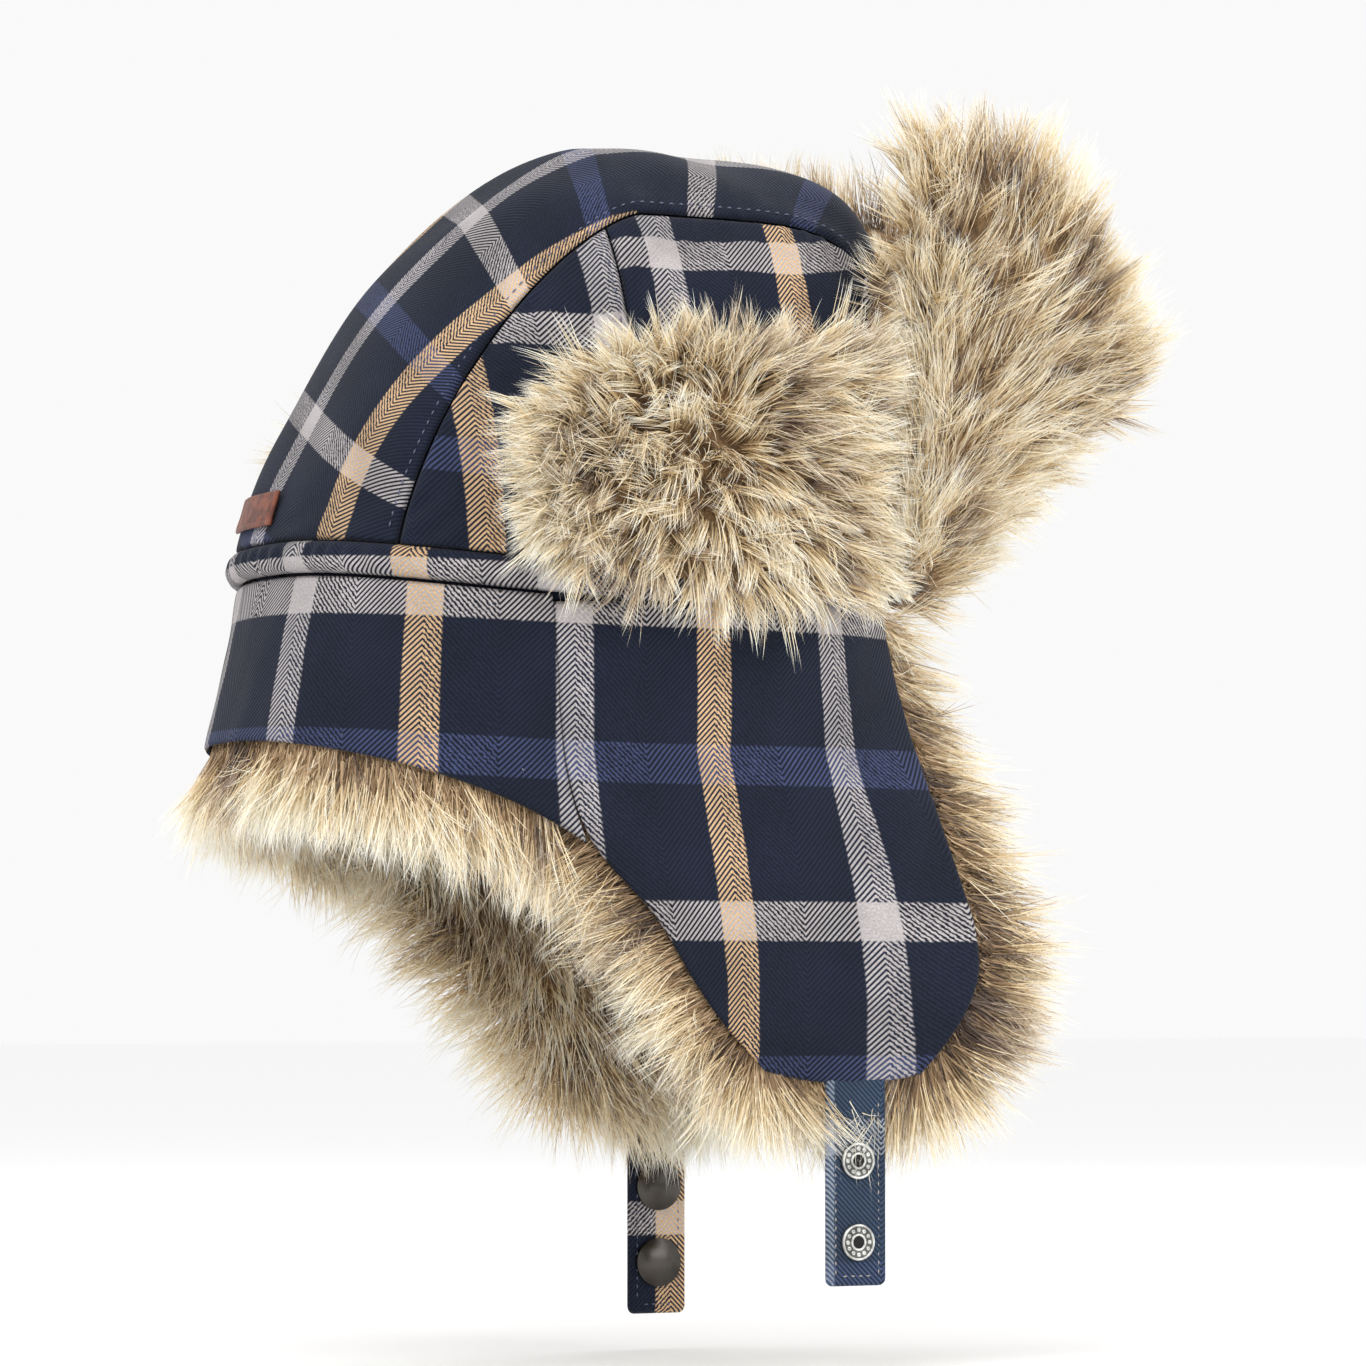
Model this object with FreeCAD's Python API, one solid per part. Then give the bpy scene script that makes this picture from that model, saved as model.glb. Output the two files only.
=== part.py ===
import FreeCAD, Part
import os
from math import atan2, cos, exp, pi, radians, sin

from FreeCAD import Vector

# Trapper hat for a 57 cm head, in millimetres.  The front of the hat faces -Y, the wearer's left is
# +X and +Z is up.  The origin is the middle of the head opening, level with the brow.
# Every fabric piece is a slab between two depths of one of four surfaces: the crown, the mantle
# (neck curtain and ear flaps), the brow band and the turned-up visor.

# ---- driving dimensions ----
HALF_BREADTH = 88.0          # crown, centre to side
FRONT_REACH = 108.0          # crown, centre to forehead
BACK_REACH = 106.0           # crown, centre to nape
CROWN_HEIGHT = 140.0
PLAN_ROUND = 2.4             # superellipse power of every level section
FRONT_ROUND = 6.0            # power of the crown's boxy front
BACK_ROUND = 1.45            # power of its sloping back
STRIP_HALF = 60.0            # half-width of the strip that runs front to back over the crown
SIDE_SEAM_Y = 13.0           # seam between the front and rear side panels
SEAM_GAP = 0.3               # from a panel's edge to the middle of its seam
SHOULDER_FRONT = radians(132)    # tilt of the strip seam where a side panel turns its corner
SHOULDER_BACK = radians(38)

BAND_HEIGHT = 10.6           # elastic casing and brow band
TUCK_LOW = -12.5             # fold line under the band, at the side of the head
TUCK_RISE_BACK = 9.5
TUCK_RISE_FRONT = 6.5
CASING_HALF_TURN = radians(76)
CASING_PUFF = 2.2

SHELL = (0.0, 1.6)           # depths below the outer surface of each layer of the crown
WADDING = (2.3, 5.0)
LINING = (5.7, 6.7)
SWEATBAND = (7.4, 8.4)
SWEATBAND_SPAN = (-2.5, 9.8)     # heights above the fold
CASING = (0.0, 1.2)
CASING_MARGIN = 0.6
ELASTIC = (2.0, 3.4)
ELASTIC_MARGIN = 2.0
CARE_LABEL = (7.2, 7.7)
CARE_HALF_WIDTH = 13.0
CARE_TURN = (radians(7), radians(26))    # tilts of the care label's lower and upper edges
FLAP_WADDING = (2.3, 4.6)
FLAP_FUR = (5.3, 17.0)

HEM_DROP = -56.0             # curtain hem at the back of the neck
HEM_DROP_SIDE = 30.0         # how much lower it is where it meets the ear flaps
CURTAIN_FLARE = 0.22         # outward slope of the curtain at the back
CURTAIN_TURN = (radians(61.1), radians(66.5))
FUR_TURN = (radians(60.0), radians(63.5))
HEM_FUR = 16.0               # how far the fur hangs below the cloth
HEM_ROUND = 2.2
MANTLE_DEPTH = 155.0         # from the fold to an ear flap's tip
MANTLE_SWELL = 10.0          # the mantle widens below the fold, then draws in under the jaw
MANTLE_DRAW = 26.0
MANTLE_FORWARD = 0.0112      # how the front edges lean forward as they drop
MANTLE_START = -10.0

# (forward, height) outline of an ear flap: the line where it leaves the curtain, and its front edge
FLAP_REAR = ((-43, -14), (-41, -50), (-32, -85), (-7, -111), (13, -137), (38, -160.5))
FLAP_FRONT = ((88, -10), (92, -41), (108, -100), (115, -128), (95, -162))
FUR_REAR = ((-38, -17), (-37, -50), (-35, -92), (-20, -121), (0, -146), (28, -161))
FUR_FRONT = ((98, -17), (107, -41), (124, -98), (131, -128), (106, -162))
FLAP_TIP_SAG = 3.6
WADDING_ACROSS = (0.03, 0.97)    # shares of the flap that its wadding fills
WADDING_DOWN = (0.02, 0.97)

VISOR_HALF = 68.0            # half-width of the loose front of the visor
VISOR_STANDOFF = 4.4         # from the crown to the back of the visor at its seam
VISOR_SEAM_Z = -3.0
VISOR_TIP = Vector(0, -190, 66)
VISOR_CORNER = 0.86          # where the top edge is highest, as a share of the half-width
VISOR_CORNER_REACH = 104.0   # how far the top edge falls back from the tip to the temples
VISOR_CORNER_RISE = 57.0
VISOR_SHELL = (0.0, 1.6)
VISOR_INTERLINING = (2.1, 3.1)
VISOR_FUR = (3.6, 12.5)
WING_SPAN = (78.0, -38.0)    # forward places of the ends of a visor wing on the temple
WING_TOP = 61.0
WING_BOTTOM = -5.0
WING_RISE = 40.0             # the front end climbs towards the visor's corner
WING_RISE_WIDTH = 10.0
WING_ROUND_FROM = 6.0        # behind this place the wing's outline rounds off
WING_ROUND_TOP = 20.0
WING_ROUND_BOTTOM = 14.0
INTERLINING_RISE = 12.0
WING_SHELL = (-3.6, -5.2)
WING_INTERLINING = (-5.6, -6.4)
WING_FUR = (-6.9, -14.5)

STRAP_WIDTH = 22.0
STRAP_THICK = 2.4
STRAP_X = 69.8               # inner face
STRAP_FORWARD = 71.0
STRAP_TOP = -168.0
RIGHT_STRAP_END = -229.5
LEFT_STRAP_END = -245.5
SNAP_PITCH = 26.0
RIGHT_SNAP_UP = 14.0         # lowest snap above the strap's end
LEFT_SNAP_UP = 17.5
REST_GAP = 0.1

CAP_RADIUS = 8.3
CAP_EDGE = 1.1
CAP_DOME = 1.5
CAP_POST_RADIUS = 1.6
SNAP_RING_RADIUS = 6.0
RING_THICK = 0.9
RING_HOLE = 1.8
RING_TUBE_RADIUS = 2.6
STUD_BASE = 0.8
STUD_RADIUS = 2.8
STUD_HEIGHT = 2.2
SOCKET_THICK = 2.8
SOCKET_BORE = 2.9
SOCKET_DEPTH = 2.2

LABEL_X = (-4.0, 34.0)
LABEL_Z = (13.0, 24.0)
LABEL_DEPTHS = (-0.4, -1.8)


# ---- the crown's outer surface, a radial function of direction ----
def sagittal_scale(y, z):
    """Factor that takes (y, z) out to the crown's front-to-back profile."""
    reach, power = (BACK_REACH, BACK_ROUND) if y > 0 else (FRONT_REACH, FRONT_ROUND)
    if z <= 0:
        return reach / max(abs(y), 1e-9)
    return ((abs(y) / reach) ** power + (z / CROWN_HEIGHT) ** power) ** (-1 / power)


def on_crown(point, depth=0.0):
    """The crown's point in the direction of point, depth under its surface."""
    d = Vector(point).normalize()
    side = (abs(d.x) / HALF_BREADTH) ** PLAN_ROUND
    reach = (side + sagittal_scale(d.y, d.z) ** -PLAN_ROUND) ** (-1 / PLAN_ROUND)
    return d * (reach - depth)


def plan_point(turn, breadth=HALF_BREADTH, front=FRONT_REACH, back=BACK_REACH):
    """Level section at a turn from the back (+Y) towards the left (+X)."""
    reach = back if cos(turn) > 0 else front
    scale = (abs(sin(turn) / breadth) ** PLAN_ROUND + abs(cos(turn) / reach) ** PLAN_ROUND)
    scale = scale ** (-1 / PLAN_ROUND)
    return Vector(scale * sin(turn), scale * cos(turn), 0)


def tuck_z(y):
    """Height of the fold under the band, which rises to the nape and to the brow."""
    if y > 0:
        return TUCK_LOW + TUCK_RISE_BACK * (y / BACK_REACH) ** 2
    return TUCK_LOW + TUCK_RISE_FRONT * (y / FRONT_REACH) ** 2


def base_point(turn):
    p = plan_point(turn)
    return Vector(p.x, p.y, tuck_z(p.y) + BAND_HEIGHT)


def seam_point(x, tilt):
    """Point of the crown at sideways place x, at a tilt from the back over the top to the front."""
    narrow = (1 - (abs(x) / HALF_BREADTH) ** PLAN_ROUND) ** (1 / PLAN_ROUND)
    scale = sagittal_scale(cos(tilt), sin(tilt)) * narrow
    return Vector(x, scale * cos(tilt), scale * sin(tilt))


def base_tilt(x, front):
    """Tilt at which the line at sideways place x reaches the crown's base."""
    narrow = (1 - (abs(x) / HALF_BREADTH) ** PLAN_ROUND) ** (1 / PLAN_ROUND)
    y = -FRONT_REACH * narrow if front else BACK_REACH * narrow
    return atan2(tuck_z(y) + BAND_HEIGHT, y)


def tilt_at(x, y):
    """Tilt of the strip's seam where it crosses the plane at y, near the top."""
    low, high = radians(20), radians(160)
    for _ in range(50):
        middle = (low + high) / 2
        if seam_point(x, middle).y > y:
            low = middle
        else:
            high = middle
    return low


def turn_at(y):
    """Turn of the base line where it crosses the plane at y, on the left side."""
    low, high = 0.0, pi
    for _ in range(50):
        middle = (low + high) / 2
        if plan_point(middle).y > y:
            low = middle
        else:
            high = middle
    return low


def mix(a, b, t):
    return a + (b - a) * t


def crown_strip(u, v, depth):
    x = mix(-STRIP_HALF + SEAM_GAP, STRIP_HALF - SEAM_GAP, u)
    tilt = mix(base_tilt(x, True), base_tilt(x, False), v)
    return on_crown(seam_point(x, tilt), depth)


def coons(bottom, top, left, right, u, v):
    """Point of the four-sided patch that its edges span."""
    ruled_v = mix(bottom(u), top(u), v)
    ruled_u = mix(left(v), right(v), u)
    corners = mix(mix(bottom(0), bottom(1), u), mix(top(0), top(1), u), v)
    return ruled_v + ruled_u - corners


def side_panel(front_y, back_y):
    """Surface of the left side between two planes, or out to the strip's seam where one is None."""
    x = STRIP_HALF + SEAM_GAP
    front_seam = base_tilt(x, True)
    back_seam = base_tilt(x, False)
    base_front = turn_at(seam_point(x, front_seam).y) if front_y is None else turn_at(front_y)
    base_back = turn_at(seam_point(x, back_seam).y) if back_y is None else turn_at(back_y)
    top_front = SHOULDER_FRONT if front_y is None else tilt_at(x, front_y)
    top_back = SHOULDER_BACK if back_y is None else tilt_at(x, back_y)

    def bottom(u):
        return base_point(mix(base_front, base_back, u))

    def top(u):
        return seam_point(x, mix(top_front, top_back, u))

    def edge(v, seam, shoulder, base, y):
        if y is None:
            return seam_point(x, mix(seam, shoulder, v))
        low = base_point(base)
        high = seam_point(x, shoulder)
        z = mix(low.z, high.z, v)
        level = max(z, 0)
        narrow = (1 - sagittal_scale(y, level) ** -PLAN_ROUND) ** (1 / PLAN_ROUND)
        return Vector(HALF_BREADTH * narrow, y, z)

    def surface(u, v, depth):
        p = coons(bottom, top,
                  lambda t: edge(t, front_seam, top_front, base_front, front_y),
                  lambda t: edge(t, back_seam, top_back, base_back, back_y), u, v)
        return on_crown(p, depth)

    return surface


# ---- the band between the crown and the mantle ----
def band_surface(start, stop, low, high, puff=0.0):
    """Band between two turns, from low to high above the fold, bulging by puff at mid-height."""
    def surface(u, v, depth):
        p = plan_point(mix(start, stop, u))
        bulge = puff * (1 - (2 * v - 1) ** 2) if depth < 0.5 else 0.0
        out = Vector(p).normalize() * (bulge - depth)
        return p + out + Vector(0, 0, tuck_z(p.y) + mix(low, high, v))

    return surface


# ---- the mantle: neck curtain and ear flaps ----
def mantle_axes(z):
    """Half-breadth, front reach and back reach of the mantle's level section at height z."""
    drop = max(MANTLE_START - z, -6)
    t = drop / MANTLE_DEPTH
    breadth = HALF_BREADTH + MANTLE_SWELL * t - MANTLE_DRAW * t * t
    forward = MANTLE_FORWARD * drop * abs(drop)
    return breadth, FRONT_REACH + forward, BACK_REACH + CURTAIN_FLARE * drop


def mantle_inward(p, axes):
    """Level unit vector into the hat, square to the mantle at p."""
    breadth, front, back = axes
    reach = back if p.y > 0 else front
    nx = (abs(p.x) / breadth) ** (PLAN_ROUND - 1) / breadth
    ny = (abs(p.y) / reach) ** (PLAN_ROUND - 1) / reach
    return Vector(-nx if p.x > 0 else nx, -ny if p.y > 0 else ny, 0).normalize()


def hem_z(turn):
    return HEM_DROP - HEM_DROP_SIDE * (abs(turn) / CURTAIN_TURN[1]) ** HEM_ROUND


def curtain_surface(turns, top_gap, extra):
    def surface(u, v, depth):
        turn = mix(-1, 1, u) * mix(turns[0], turns[1], v)
        top = tuck_z(plan_point(turn).y) - top_gap
        z = mix(top, hem_z(turn) - extra, v)
        axes = mantle_axes(z)
        p = plan_point(turn, *axes)
        p.z = z
        return p + mantle_inward(p, axes) * depth

    return surface


def smooth_curve(points):
    curve = Part.BSplineCurve()
    curve.interpolate([Vector(a, b, 0) for a, b in points])

    def at(t):
        p = curve.value(mix(curve.FirstParameter, curve.LastParameter, t))
        return p.x, p.y

    return at


def flap_surface(rear, front):
    """Left ear flap between two (forward, height) outlines."""
    rear_at, front_at = smooth_curve(rear), smooth_curve(front)

    def surface(u, v, depth):
        (f0, z0), (f1, z1) = rear_at(v), front_at(v)
        y = -mix(f0, f1, u)
        z = mix(z0, z1, u) - FLAP_TIP_SAG * v ** 3 * 4 * u * (1 - u)
        axes = mantle_axes(z)
        reach = axes[2] if y > 0 else axes[1]
        x = axes[0] * (1 - (abs(y) / reach) ** PLAN_ROUND) ** (1 / PLAN_ROUND)
        p = Vector(x, y, z)
        return p + mantle_inward(p, axes) * depth

    return surface


# ---- the visor ----
def visor_sheet(u, v):
    """Back face of the visor's loose front: u from -1 to 1 across it, v from seam to top edge."""
    side = abs(u)
    x = VISOR_HALF * u
    narrow = (1 - (abs(x) / HALF_BREADTH) ** PLAN_ROUND) ** (1 / PLAN_ROUND)
    seam = Vector(x, -FRONT_REACH * narrow, VISOR_SEAM_Z)
    out = mantle_inward(seam, (HALF_BREADTH, FRONT_REACH, BACK_REACH))
    seam = seam - out * VISOR_STANDOFF
    rise = VISOR_CORNER_RISE * (1 - cos(pi * side / VISOR_CORNER)) / 2
    top = VISOR_TIP + Vector(x, VISOR_CORNER_REACH * side ** 2.4, rise)
    return mix(seam, top, v)


def visor_surface(reach_u, reach_v, start_v=0.0):
    def surface(u, v, depth):
        a, b, step = mix(-reach_u, reach_u, u), mix(start_v, reach_v, v), 1e-3
        du = visor_sheet(a + step, b) - visor_sheet(a - step, b)
        dv = visor_sheet(a, b + step) - visor_sheet(a, b - step)
        return visor_sheet(a, b) + du.cross(dv).normalize() * depth

    return surface


def wing_surface(margin, rise=WING_RISE):
    """Left visor wing, lying over the crown's side from the temple to behind the ear."""
    def surface(u, v, depth):
        f = mix(WING_SPAN[0] + min(margin, 0), WING_SPAN[1] - margin, u)
        back = max(0.0, (WING_ROUND_FROM - f) / (WING_ROUND_FROM - WING_SPAN[1])) ** 2.4
        climb = rise * exp(-((WING_SPAN[0] - f) / WING_RISE_WIDTH) ** 2)
        top = WING_TOP + margin + climb - WING_ROUND_TOP * back
        bottom = WING_BOTTOM - 0.6 * margin + WING_ROUND_BOTTOM * back
        z = mix(bottom, top, v)
        y, level = -f, max(z, 0)
        narrow = (1 - min(sagittal_scale(y, level) ** -PLAN_ROUND, 0.97)) ** (1 / PLAN_ROUND)
        p = Vector(HALF_BREADTH * narrow, y, z)
        return p + mantle_inward(p, (HALF_BREADTH, FRONT_REACH, BACK_REACH)) * depth

    return surface


def label_surface(u, v, depth):
    x, z = mix(LABEL_X[0], LABEL_X[1], u), mix(LABEL_Z[0], LABEL_Z[1], v)
    low, high = radians(1), radians(60)
    for _ in range(40):
        middle = (low + high) / 2
        if seam_point(x, middle).z < z:
            low = middle
        else:
            high = middle
    return on_crown(seam_point(x, low), depth)


def care_surface(u, v, depth):
    """Label on the lining at the back of the crown."""
    x = mix(-CARE_HALF_WIDTH, CARE_HALF_WIDTH, u)
    return on_crown(seam_point(x, mix(*CARE_TURN, v)), depth)


# ---- solids ----
def face_of(surface, depth, count_u, count_v):
    grid = [[surface(i / (count_u - 1), j / (count_v - 1), depth) for j in range(count_v)]
            for i in range(count_u)]
    spline = Part.BSplineSurface()
    spline.interpolate(grid)
    return spline


def slab(surface, depths, count_u=13, count_v=11):
    """Closed solid between two depths of a surface, with ruled edges."""
    outer = face_of(surface, depths[0], count_u, count_v)
    inner = face_of(surface, depths[1], count_u, count_v)
    u0, u1, v0, v1 = outer.bounds()
    s0, s1, t0, t1 = inner.bounds()
    pairs = ((outer.uIso(u0), inner.uIso(s0)), (outer.uIso(u1), inner.uIso(s1)),
             (outer.vIso(v0), inner.vIso(t0)), (outer.vIso(v1), inner.vIso(t1)))
    faces = [outer.toShape(), inner.toShape()]
    faces += [Part.makeRuledSurface(a.toShape(), b.toShape()) for a, b in pairs]
    solid = Part.Solid(Part.Shell(faces))
    return solid if solid.Volume > 0 else solid.reversed()


def mirrored(shape):
    return shape.mirror(Vector(0, 0, 0), Vector(1, 0, 0))


def rod(x0, x1, radius, y, z):
    """Round bar along X."""
    low = min(x0, x1)
    return Part.makeCylinder(radius, abs(x1 - x0), Vector(low, y, z), Vector(1, 0, 0))


def snap_heights(end, first):
    return (end + first, end + first + SNAP_PITCH)


def strap(side, end, snaps, hole):
    """Chin strap with rounded lower corners and its snap holes."""
    x0, x1 = sorted((side * STRAP_X, side * (STRAP_X + STRAP_THICK)))
    body = Part.makeBox(x1 - x0, STRAP_WIDTH, STRAP_TOP - end,
                        Vector(x0, -STRAP_FORWARD - STRAP_WIDTH / 2, end))
    corners = [e for e in body.Edges
               if abs(e.Vertexes[0].Z - end) < 0.01 and abs(e.Vertexes[1].Z - end) < 0.01
               and abs(e.Vertexes[0].X - e.Vertexes[1].X) > 1]
    body = body.makeFillet(2.5, corners)
    for z in snaps:
        body = body.cut(rod(x0 - 1, x1 + 1, hole, -STRAP_FORWARD, z))
    return body


def domed_cap(z):
    """Cap on the inner face of the left strap, with its post through the cloth."""
    face, y = STRAP_X - REST_GAP, -STRAP_FORWARD
    edge = face - CAP_EDGE
    ball = (CAP_RADIUS ** 2 + CAP_DOME ** 2) / (2 * CAP_DOME)
    dome = Part.makeSphere(ball, Vector(edge - CAP_DOME + ball, y, z))
    slice_ = rod(edge - CAP_DOME - 1, edge, CAP_RADIUS, y, z)
    post = rod(face, STRAP_X + STRAP_THICK, CAP_POST_RADIUS, y, z)
    return dome.common(slice_).fuse([rod(edge, face, CAP_RADIUS, y, z), post]).removeSplitter()


def socket(z):
    """Socket on the outer face of the left strap, open outwards."""
    x, y = STRAP_X + STRAP_THICK + REST_GAP, -STRAP_FORWARD
    body = rod(x, x + SOCKET_THICK, SNAP_RING_RADIUS, y, z)
    outer_edge = [e for e in body.Edges if len(e.Vertexes) == 1 and e.Vertexes[0].X > x + 1]
    body = body.makeFillet(0.8, outer_edge)
    return body.cut(rod(x + SOCKET_THICK - SOCKET_DEPTH, x + SOCKET_THICK + 1, SOCKET_BORE, y, z))


def ring_post(z):
    """Open ring on the outer face of the right strap, with its tube through the cloth."""
    x, y = -(STRAP_X + STRAP_THICK + REST_GAP), -STRAP_FORWARD
    ring = rod(x - RING_THICK, x, SNAP_RING_RADIUS, y, z)
    rim = [e for e in ring.Edges if len(e.Vertexes) == 1 and e.Vertexes[0].X < x - 0.5]
    ring = ring.makeFillet(0.5, rim)
    tube = rod(x, -STRAP_X, RING_TUBE_RADIUS, y, z)
    return ring.fuse(tube).cut(rod(x - 2, -STRAP_X + 1, RING_HOLE, y, z)).removeSplitter()


def stud(z):
    """Stud on the inner face of the right strap, its boss towards the neck."""
    x, y = -STRAP_X + REST_GAP, -STRAP_FORWARD
    base = rod(x, x + STUD_BASE, SNAP_RING_RADIUS, y, z)
    return base.fuse(rod(x + STUD_BASE, x + STUD_BASE + STUD_HEIGHT, STUD_RADIUS, y, z))


def crown_nodes():
    side_front = side_panel(None, SIDE_SEAM_Y - SEAM_GAP)
    side_rear = side_panel(SIDE_SEAM_Y + SEAM_GAP, None)
    side_whole = side_panel(None, None)
    nodes = {"crown_top_strip": slab(crown_strip, SHELL, 13, 25),
             "crown_top_wadding": slab(crown_strip, WADDING, 13, 25),
             "crown_top_lining": slab(crown_strip, LINING, 13, 25)}
    for name, surface, depths in (("crown_front_side", side_front, SHELL),
                                  ("crown_rear_side", side_rear, SHELL),
                                  ("crown_side_wadding", side_whole, WADDING),
                                  ("crown_side_lining", side_whole, LINING)):
        piece = slab(surface, depths, 17, 15)
        nodes[name + "_left"] = piece
        nodes[name + "_right"] = mirrored(piece)
    nodes["leather_label"] = slab(label_surface, LABEL_DEPTHS, 7, 5)
    return nodes


def band_nodes():
    turn, rest = CASING_HALF_TURN, 2 * pi - CASING_HALF_TURN
    low, high = CASING_MARGIN, BAND_HEIGHT - CASING_MARGIN
    casing = band_surface(-turn, turn, low, high, CASING_PUFF)
    tape = band_surface(0.05 - turn, turn - 0.05, ELASTIC_MARGIN, BAND_HEIGHT - ELASTIC_MARGIN)
    brow = band_surface(turn + 0.01, rest - 0.01, low, high)
    sweat = band_surface(0.02, 2 * pi - 0.02, *SWEATBAND_SPAN)
    return {"elastic_casing": slab(casing, CASING, 25, 7),
            "elastic_tape": slab(tape, ELASTIC, 25, 5),
            "brow_band": slab(brow, SHELL, 29, 5),
            "sweatband": slab(sweat, SWEATBAND, 41, 5),
            "care_label": slab(care_surface, CARE_LABEL, 5, 5)}


def mantle_nodes():
    shell = curtain_surface(CURTAIN_TURN, 0.8, 0.0)
    fur = curtain_surface(FUR_TURN, 5.0, HEM_FUR)
    nodes = {"neck_curtain_shell": slab(shell, SHELL, 21, 9),
             "neck_curtain_wadding": slab(curtain_surface(FUR_TURN, 2.0, -2.0), FLAP_WADDING, 21, 9),
             "neck_curtain_fur": slab(fur, FLAP_FUR, 21, 9)}
    flap = flap_surface(FLAP_REAR, FLAP_FRONT)
    flap_fur = flap_surface(FUR_REAR, FUR_FRONT)
    for name, surface, depths in (("ear_flap_shell", flap, SHELL),
                                  ("ear_flap_fur", flap_fur, FLAP_FUR)):
        piece = slab(surface, depths, 15, 17)
        nodes["left_" + name] = piece
        nodes["right_" + name] = mirrored(piece)
    wadding = slab(lambda u, v, depth: flap(mix(*WADDING_ACROSS, u), mix(*WADDING_DOWN, v), depth),
                   FLAP_WADDING, 15, 17)
    nodes["left_ear_flap_wadding"] = wadding
    nodes["right_ear_flap_wadding"] = mirrored(wadding)
    return nodes


def visor_nodes():
    nodes = {"visor_shell": slab(visor_surface(0.97, 1.0), VISOR_SHELL, 21, 9),
             "visor_interlining": slab(visor_surface(0.94, 0.95, 0.03), VISOR_INTERLINING, 21, 9),
             "visor_fur": slab(visor_surface(0.97, 1.1, 0.02), VISOR_FUR, 21, 9)}
    for name, margin, rise, depths in (("shell", 0.0, WING_RISE, WING_SHELL),
                                       ("interlining", -9.0, INTERLINING_RISE, WING_INTERLINING),
                                       ("fur", 7.0, WING_RISE, WING_FUR)):
        piece = slab(wing_surface(margin, rise), depths, 21, 9)
        nodes["visor_wing_" + name + "_left"] = piece
        nodes["visor_wing_" + name + "_right"] = mirrored(piece)
    return nodes


def strap_nodes():
    right = snap_heights(RIGHT_STRAP_END, RIGHT_SNAP_UP)
    left = snap_heights(LEFT_STRAP_END, LEFT_SNAP_UP)
    return {"right_strap": strap(-1, RIGHT_STRAP_END, right, RING_TUBE_RADIUS + REST_GAP),
            "left_strap": strap(1, LEFT_STRAP_END, left, CAP_POST_RADIUS + REST_GAP),
            "right_strap_ring_posts": Part.Compound([ring_post(z) for z in right]),
            "right_strap_studs": Part.Compound([stud(z) for z in right]),
            "left_strap_caps": Part.Compound([domed_cap(z) for z in left]),
            "left_strap_sockets": Part.Compound([socket(z) for z in left])}


os.makedirs("parts", exist_ok=True)
for group in (crown_nodes(), band_nodes(), mantle_nodes(), visor_nodes(), strap_nodes()):
    for node, shape in group.items():
        shape.exportStep("parts/" + node + ".step")
        print(node, "solids", len(shape.Solids), "valid", shape.isValid(),
              "volume cm3", round(shape.Volume / 1000, 2))
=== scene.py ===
from math import cos, pi, radians, sin, sqrt

import bpy
import numpy as np
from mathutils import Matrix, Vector, kdtree


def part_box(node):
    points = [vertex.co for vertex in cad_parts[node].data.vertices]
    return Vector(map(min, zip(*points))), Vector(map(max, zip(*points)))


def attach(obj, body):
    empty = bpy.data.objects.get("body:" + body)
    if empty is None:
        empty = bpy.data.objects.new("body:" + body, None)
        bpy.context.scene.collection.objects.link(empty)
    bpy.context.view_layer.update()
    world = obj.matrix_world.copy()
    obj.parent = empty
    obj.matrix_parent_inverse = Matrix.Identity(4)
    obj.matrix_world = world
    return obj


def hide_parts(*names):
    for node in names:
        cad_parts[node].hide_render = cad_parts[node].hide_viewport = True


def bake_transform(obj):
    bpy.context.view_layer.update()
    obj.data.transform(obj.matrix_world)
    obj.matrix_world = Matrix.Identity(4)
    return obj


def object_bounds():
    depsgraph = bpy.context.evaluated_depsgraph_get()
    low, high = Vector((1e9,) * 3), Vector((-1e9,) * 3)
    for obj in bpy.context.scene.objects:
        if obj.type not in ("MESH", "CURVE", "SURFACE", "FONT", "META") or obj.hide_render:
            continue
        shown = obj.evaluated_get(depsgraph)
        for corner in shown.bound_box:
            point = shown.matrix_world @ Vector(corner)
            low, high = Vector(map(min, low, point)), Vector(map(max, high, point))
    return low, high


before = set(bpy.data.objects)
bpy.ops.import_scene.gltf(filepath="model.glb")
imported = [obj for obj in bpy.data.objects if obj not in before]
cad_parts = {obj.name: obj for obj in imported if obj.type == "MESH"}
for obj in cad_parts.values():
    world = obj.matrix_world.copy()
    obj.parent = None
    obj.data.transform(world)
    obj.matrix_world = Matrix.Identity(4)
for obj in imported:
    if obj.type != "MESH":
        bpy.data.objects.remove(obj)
cad_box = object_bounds()

# Trapper hat: plaid herringbone twill outside, mesh faux fur inside and on the turned-up visor.
# Shapes are worked out in millimetres in the frame's own axes and turned to metres as they are built.
# Front -Y, the wearer's left +X, up +Z.
METRES = 0.001


def millimetres(node):
    low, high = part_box(node)
    return np.array(low) / METRES, np.array(high) / METRES


# ---- driving dimensions, from the frame ----
SWEAT_LOW, SWEAT_HIGH = millimetres("sweatband")
SWEAT_DEPTH = 7.4            # how far the sweatband lies inside the outer surface
HALF_BREADTH = SWEAT_HIGH[0] + SWEAT_DEPTH
FRONT_REACH = SWEAT_DEPTH - SWEAT_LOW[1]
BACK_REACH = SWEAT_HIGH[1] + SWEAT_DEPTH
CROWN_HEIGHT = millimetres("crown_top_strip")[1][2]
PLAN_ROUND = 2.4             # superellipse power of every level section
FRONT_ROUND = 6.0            # and of the middle section, at the front and at the back
BACK_ROUND = 1.45
STRIP_HALF = 60.0
SIDE_SEAM_Y = 13.0
SEAM_GAP = 0.3
SHOULDER_FRONT = radians(132)    # tilts where a side panel's top edge meets its sloping edges
SHOULDER_BACK = radians(38)

BAND_HEIGHT = 10.6
TUCK_LOW = -12.5
TUCK_RISE_BACK = 9.5
TUCK_RISE_FRONT = 6.5
CASING_HALF_TURN = radians(76)
CASING_PUFF = 2.2

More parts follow.
